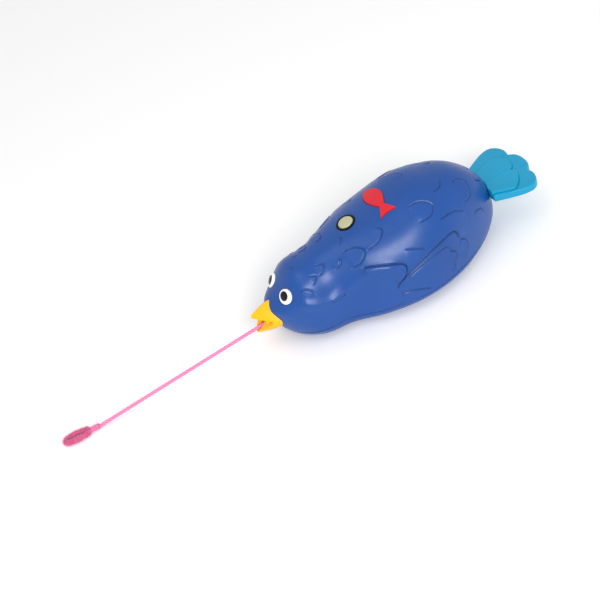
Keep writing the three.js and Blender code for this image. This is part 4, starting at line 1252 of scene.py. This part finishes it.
def fan_mesh():
    """The tail's feathers from above, as one closed piece: two layers with soft edges and fine lines."""
    outline, upper = tail_outline(), smooth_runs(UPPER_RUNS)
    low, high = outline.min(0), outline.max(0)
    grid = np.stack(np.meshgrid(np.arange(low[0], high[0], TAIL_GRID), np.arange(low[1], high[1], TAIL_GRID)),
                    axis=-1).reshape(-1, 2)
    grid[1::2] += (0.0, TAIL_GRID / 3)
    rings = []
    rim_offsets = (0.05, 0.17, 0.34, 0.58)
    step_offsets = (-0.32, -0.12, -0.03, 0.05, 0.16, 0.36)
    for line, offsets in ((outline, rim_offsets), (upper, step_offsets)):
        ahead = np.roll(line, -1, axis=0) - np.roll(line, 1, axis=0)
        square = np.column_stack([-ahead[:, 1], ahead[:, 0]])
        square /= np.linalg.norm(square, axis=1)[:, None]
        for offset in offsets:
            ring = line + square * offset
            rings.append(ring[abs(outline_distance(ring, line) - offset) < 0.02])
    away = (outline_distance(grid, outline) > 0.75) & (abs(outline_distance(grid, upper)) > 0.5)
    loose = np.concatenate([grid[away], *rings])
    loose = loose[outline_distance(loose, outline) > 0.03]
    rim = len(outline)
    points = [Vector(p) for p in np.concatenate([outline, loose])]
    ring_edges = [(k, (k + 1) % rim) for k in range(rim)]
    flat, _, triangles, _, _, _ = delaunay_2d_cdt(points, ring_edges, [], 1, 1e-5)
    flat = np.array([tuple(p) for p in flat])
    edge_gap = np.maximum(outline_distance(flat, outline), 0)
    edge_gap[:rim] = 0
    step_gap = outline_distance(flat, upper)
    rounding = TAIL_ROUNDING - np.sqrt(TAIL_ROUNDING**2 - np.maximum(TAIL_ROUNDING - edge_gap, 0) ** 2)
    lip = 0.4 - np.sqrt(np.maximum(0.16 - np.maximum(0.4 - np.maximum(step_gap, 0), 0) ** 2, 0))
    height = np.where(step_gap > 0, -lip, -FEATHER_RISE - 0.2 * np.exp(-((step_gap / 0.4) ** 2)))
    level = np.column_stack([flat, np.zeros(len(flat))])
    square = np.tile((0.0, 0.0, 1.0), (len(flat), 1))
    for points in TAIL_LINES:
        height += FlatEdge(points, depth=0.4, width=0.38).offset(level, square)
    height -= rounding
    base = -TAIL_THICK
    top = np.column_stack([flat, height])
    bottom = np.column_stack([flat[:rim], np.full(rim, base)])
    faces = [tuple(t) for t in triangles]
    count = len(flat)
    for k in range(rim):
        j = (k + 1) % rim
        faces.append((j, k, count + k, count + j))
    faces.append(tuple(range(count + rim - 1, count - 1, -1)))
    points = np.concatenate([top, bottom])
    cosine, sine = math.cos(TAIL_PITCH), math.sin(TAIL_PITCH)
    y, z = points[:, 1] - TAIL_ROOT_Y, points[:, 2].copy()
    points[:, 1] = TAIL_ROOT_Y + cosine * y - sine * z
    points[:, 2] = TAIL_TOP_Z + sine * y + cosine * z
    fan = mesh_object("tail_fan", placed(points), faces, TEAL)
    outward(fan)
    return fan


def add_tail():
    fan = fan_mesh()
    cut(fan, body_solid(0.25))
    tongue = block(-TONGUE_HALF_WIDTH, TONGUE_HALF_WIDTH, 139, 156, TAIL_TOP_Z - 5, TAIL_TOP_Z - FEATHER_RISE)
    cut(fan, tongue, operation="UNION")
    cut(fan, post(0, TAIL_POST_Y, 10, 40, 2.5))
    finish_mesh(fan.data, 40)
    settle(fan, "bird_body", "teal_plastic", "tail")


add_tail()


# ---- badge and button -----------------------------------------------------------------------------

BUTTON_RISE = 1.3


def add_badge():
    badge = extruded(fish_outline(), 40, 75, RED)
    badge.name = "badge_fish"
    cut(badge, body_solid(-0.6))
    cut(badge, body_solid(0.7), operation="INTERSECT")
    # The side walls, less than 0.35 mm above the body, are set to 1 in the same attribute as the grooves, so they
    # are painted darker.
    sides = badge.data.attributes.new("groove_and_shade", "FLOAT", "POINT")
    heights = [vertex.co.z / MM - float(surface(vertex.co.y / MM + MID_Y, angle_at(vertex.co.x / MM,
               vertex.co.y / MM + MID_Y))[2]) for vertex in badge.data.vertices]
    sides.data.foreach_set("value", [1.0 if height < 0.35 else 0.0 for height in heights])
    finish_mesh(badge.data, 40)
    settle(badge, "bird_body", "red_plastic", "back_badge")


def add_button():
    cap = [(0, -14), (1.8, -14), (1.8, -1.8), (BUTTON_RADIUS, -1.8),
           *dome(BUTTON_RADIUS, BUTTON_RISE - 1.2, BUTTON_RISE)]
    piece = turned("button_cap_domed", cap, button_seat, button_out, CREAM, 96)
    finish_mesh(piece.data, 40)
    settle(piece, "button", "button_plastic", "button_cap")
    near, far, flange = COLLAR_INSIDE, COLLAR_OUTSIDE, COLLAR_OUTSIDE + 1.8
    ring = rounded([(near, 0.4), (near, -8), (2.1, -8), (2.1, -9), (far, -9), (far, -5), (flange, -5),
                    (flange, -4), (far, -4), (far, 0.4), (near, 0.4)], 0.15, 2)
    # The collar is black plastic, and its black ring round the cap also stands for the shadow in the gap: partly
    # painted shade.
    collar = turned("button_collar_ring", ring, button_seat, button_out, BLACK, 96)
    settle(collar, "bird_body", "black_plastic", "button_collar")


def add_shell_screws():
    for number, (x, y) in enumerate(SHELL_SCREWS, 1):
        pitch, thread = 1.1, []
        for k in range(int((22.4 - 4.2) / pitch)):
            z = 4.2 + k * pitch
            thread += [(1.15, z), (1.35, z + 0.35), (1.35, z + 0.5), (1.15, z + 0.85)]
        head = rounded([(0, 0), (2.8, 0), (2.8, 1.6), (1.2, 3)], 0.5)
        screw = turned(f"shell_screw_{number}_cross_head", [*head, *thread, (1.15, 23), (0, 25)], (x, y, 3),
                       (0, 0, 1), STEEL, 40)
        slots = (block(x - 2, x + 2, y - 0.35, y + 0.35, 2, 3.8), block(x - 0.35, x + 0.35, y - 2, y + 2, 2, 3.8))
        cut(screw, *slots)
        finish_mesh(screw.data, 35)
        settle(screw, "bird_body", "steel", f"shell_screw_{number}")


add_badge()
add_button()
add_shell_screws()


# ---- works inside ---------------------------------------------------------------------------------

INNER_FINISHES = {
    "cord_reel": GREY, "spring_cover": GREY, "reel_bracket": GREY, "brake_lever": GREY, "brake_pad": RUBBER,
    "power_spring": STEEL, "button_spring": STEEL, "brake_spring": STEEL,
    "reel_axle": STEEL, "axle_clip": STEEL,
    "lever_pin": STEEL, "bracket_screw_1": STEEL, "bracket_screw_2": STEEL, "cord_eyelet": BRASS,
    "wound_cord": CORD,
}
for node, finish in INNER_FINISHES.items():
    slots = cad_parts[node].material_slots
    for place_in_slots in slots:
        place_in_slots.material = finish


# ---- floor and light ------------------------------------------------------------------------------

def add_floor():
    half = 1.6
    floor = mesh_object("floor", [(-half, -half, 0), (half, -half, 0), (half, half, 0), (-half, half, 0)],
                        [(0, 1, 2, 3)], None)
    n = Nodes("pale_floor")
    n.shader.inputs["Base Color"].default_value = (0.95, 0.95, 0.95, 1)
    n.shader.inputs["Roughness"].default_value = 0.6
    floor.data.materials.clear()
    floor.data.materials.append(n.material)


def add_light(name, spot, aim, size, watts):
    data = bpy.data.lights.new(name, "AREA")
    data.shape = "RECTANGLE"
    data.size, data.size_y = size
    data.energy = watts
    light = bpy.data.objects.new(name, data)
    light.location = spot
    light.rotation_euler = (Vector(aim) - Vector(spot)).to_track_quat("-Z", "Y").to_euler()
    bpy.context.scene.collection.objects.link(light)


def add_lighting():
    world = bpy.data.worlds.new("studio")
    bpy.context.scene.world = world
    world.use_nodes = True
    ground = world.node_tree.nodes["Background"]
    ground.inputs["Color"].default_value = (1, 1, 1, 1)
    ground.inputs["Strength"].default_value = 0.85
    add_light("key", (0.72, -0.1, 0.5), (0, 0, 0.02), (0.4, 0.3), 4.2)
    add_light("fill", (0.1, -0.3, 0.9), (0, 0, 0.02), (0.6, 0.4), 0.8)
    bpy.context.scene.view_settings.view_transform = "Standard"


add_floor()
add_lighting()
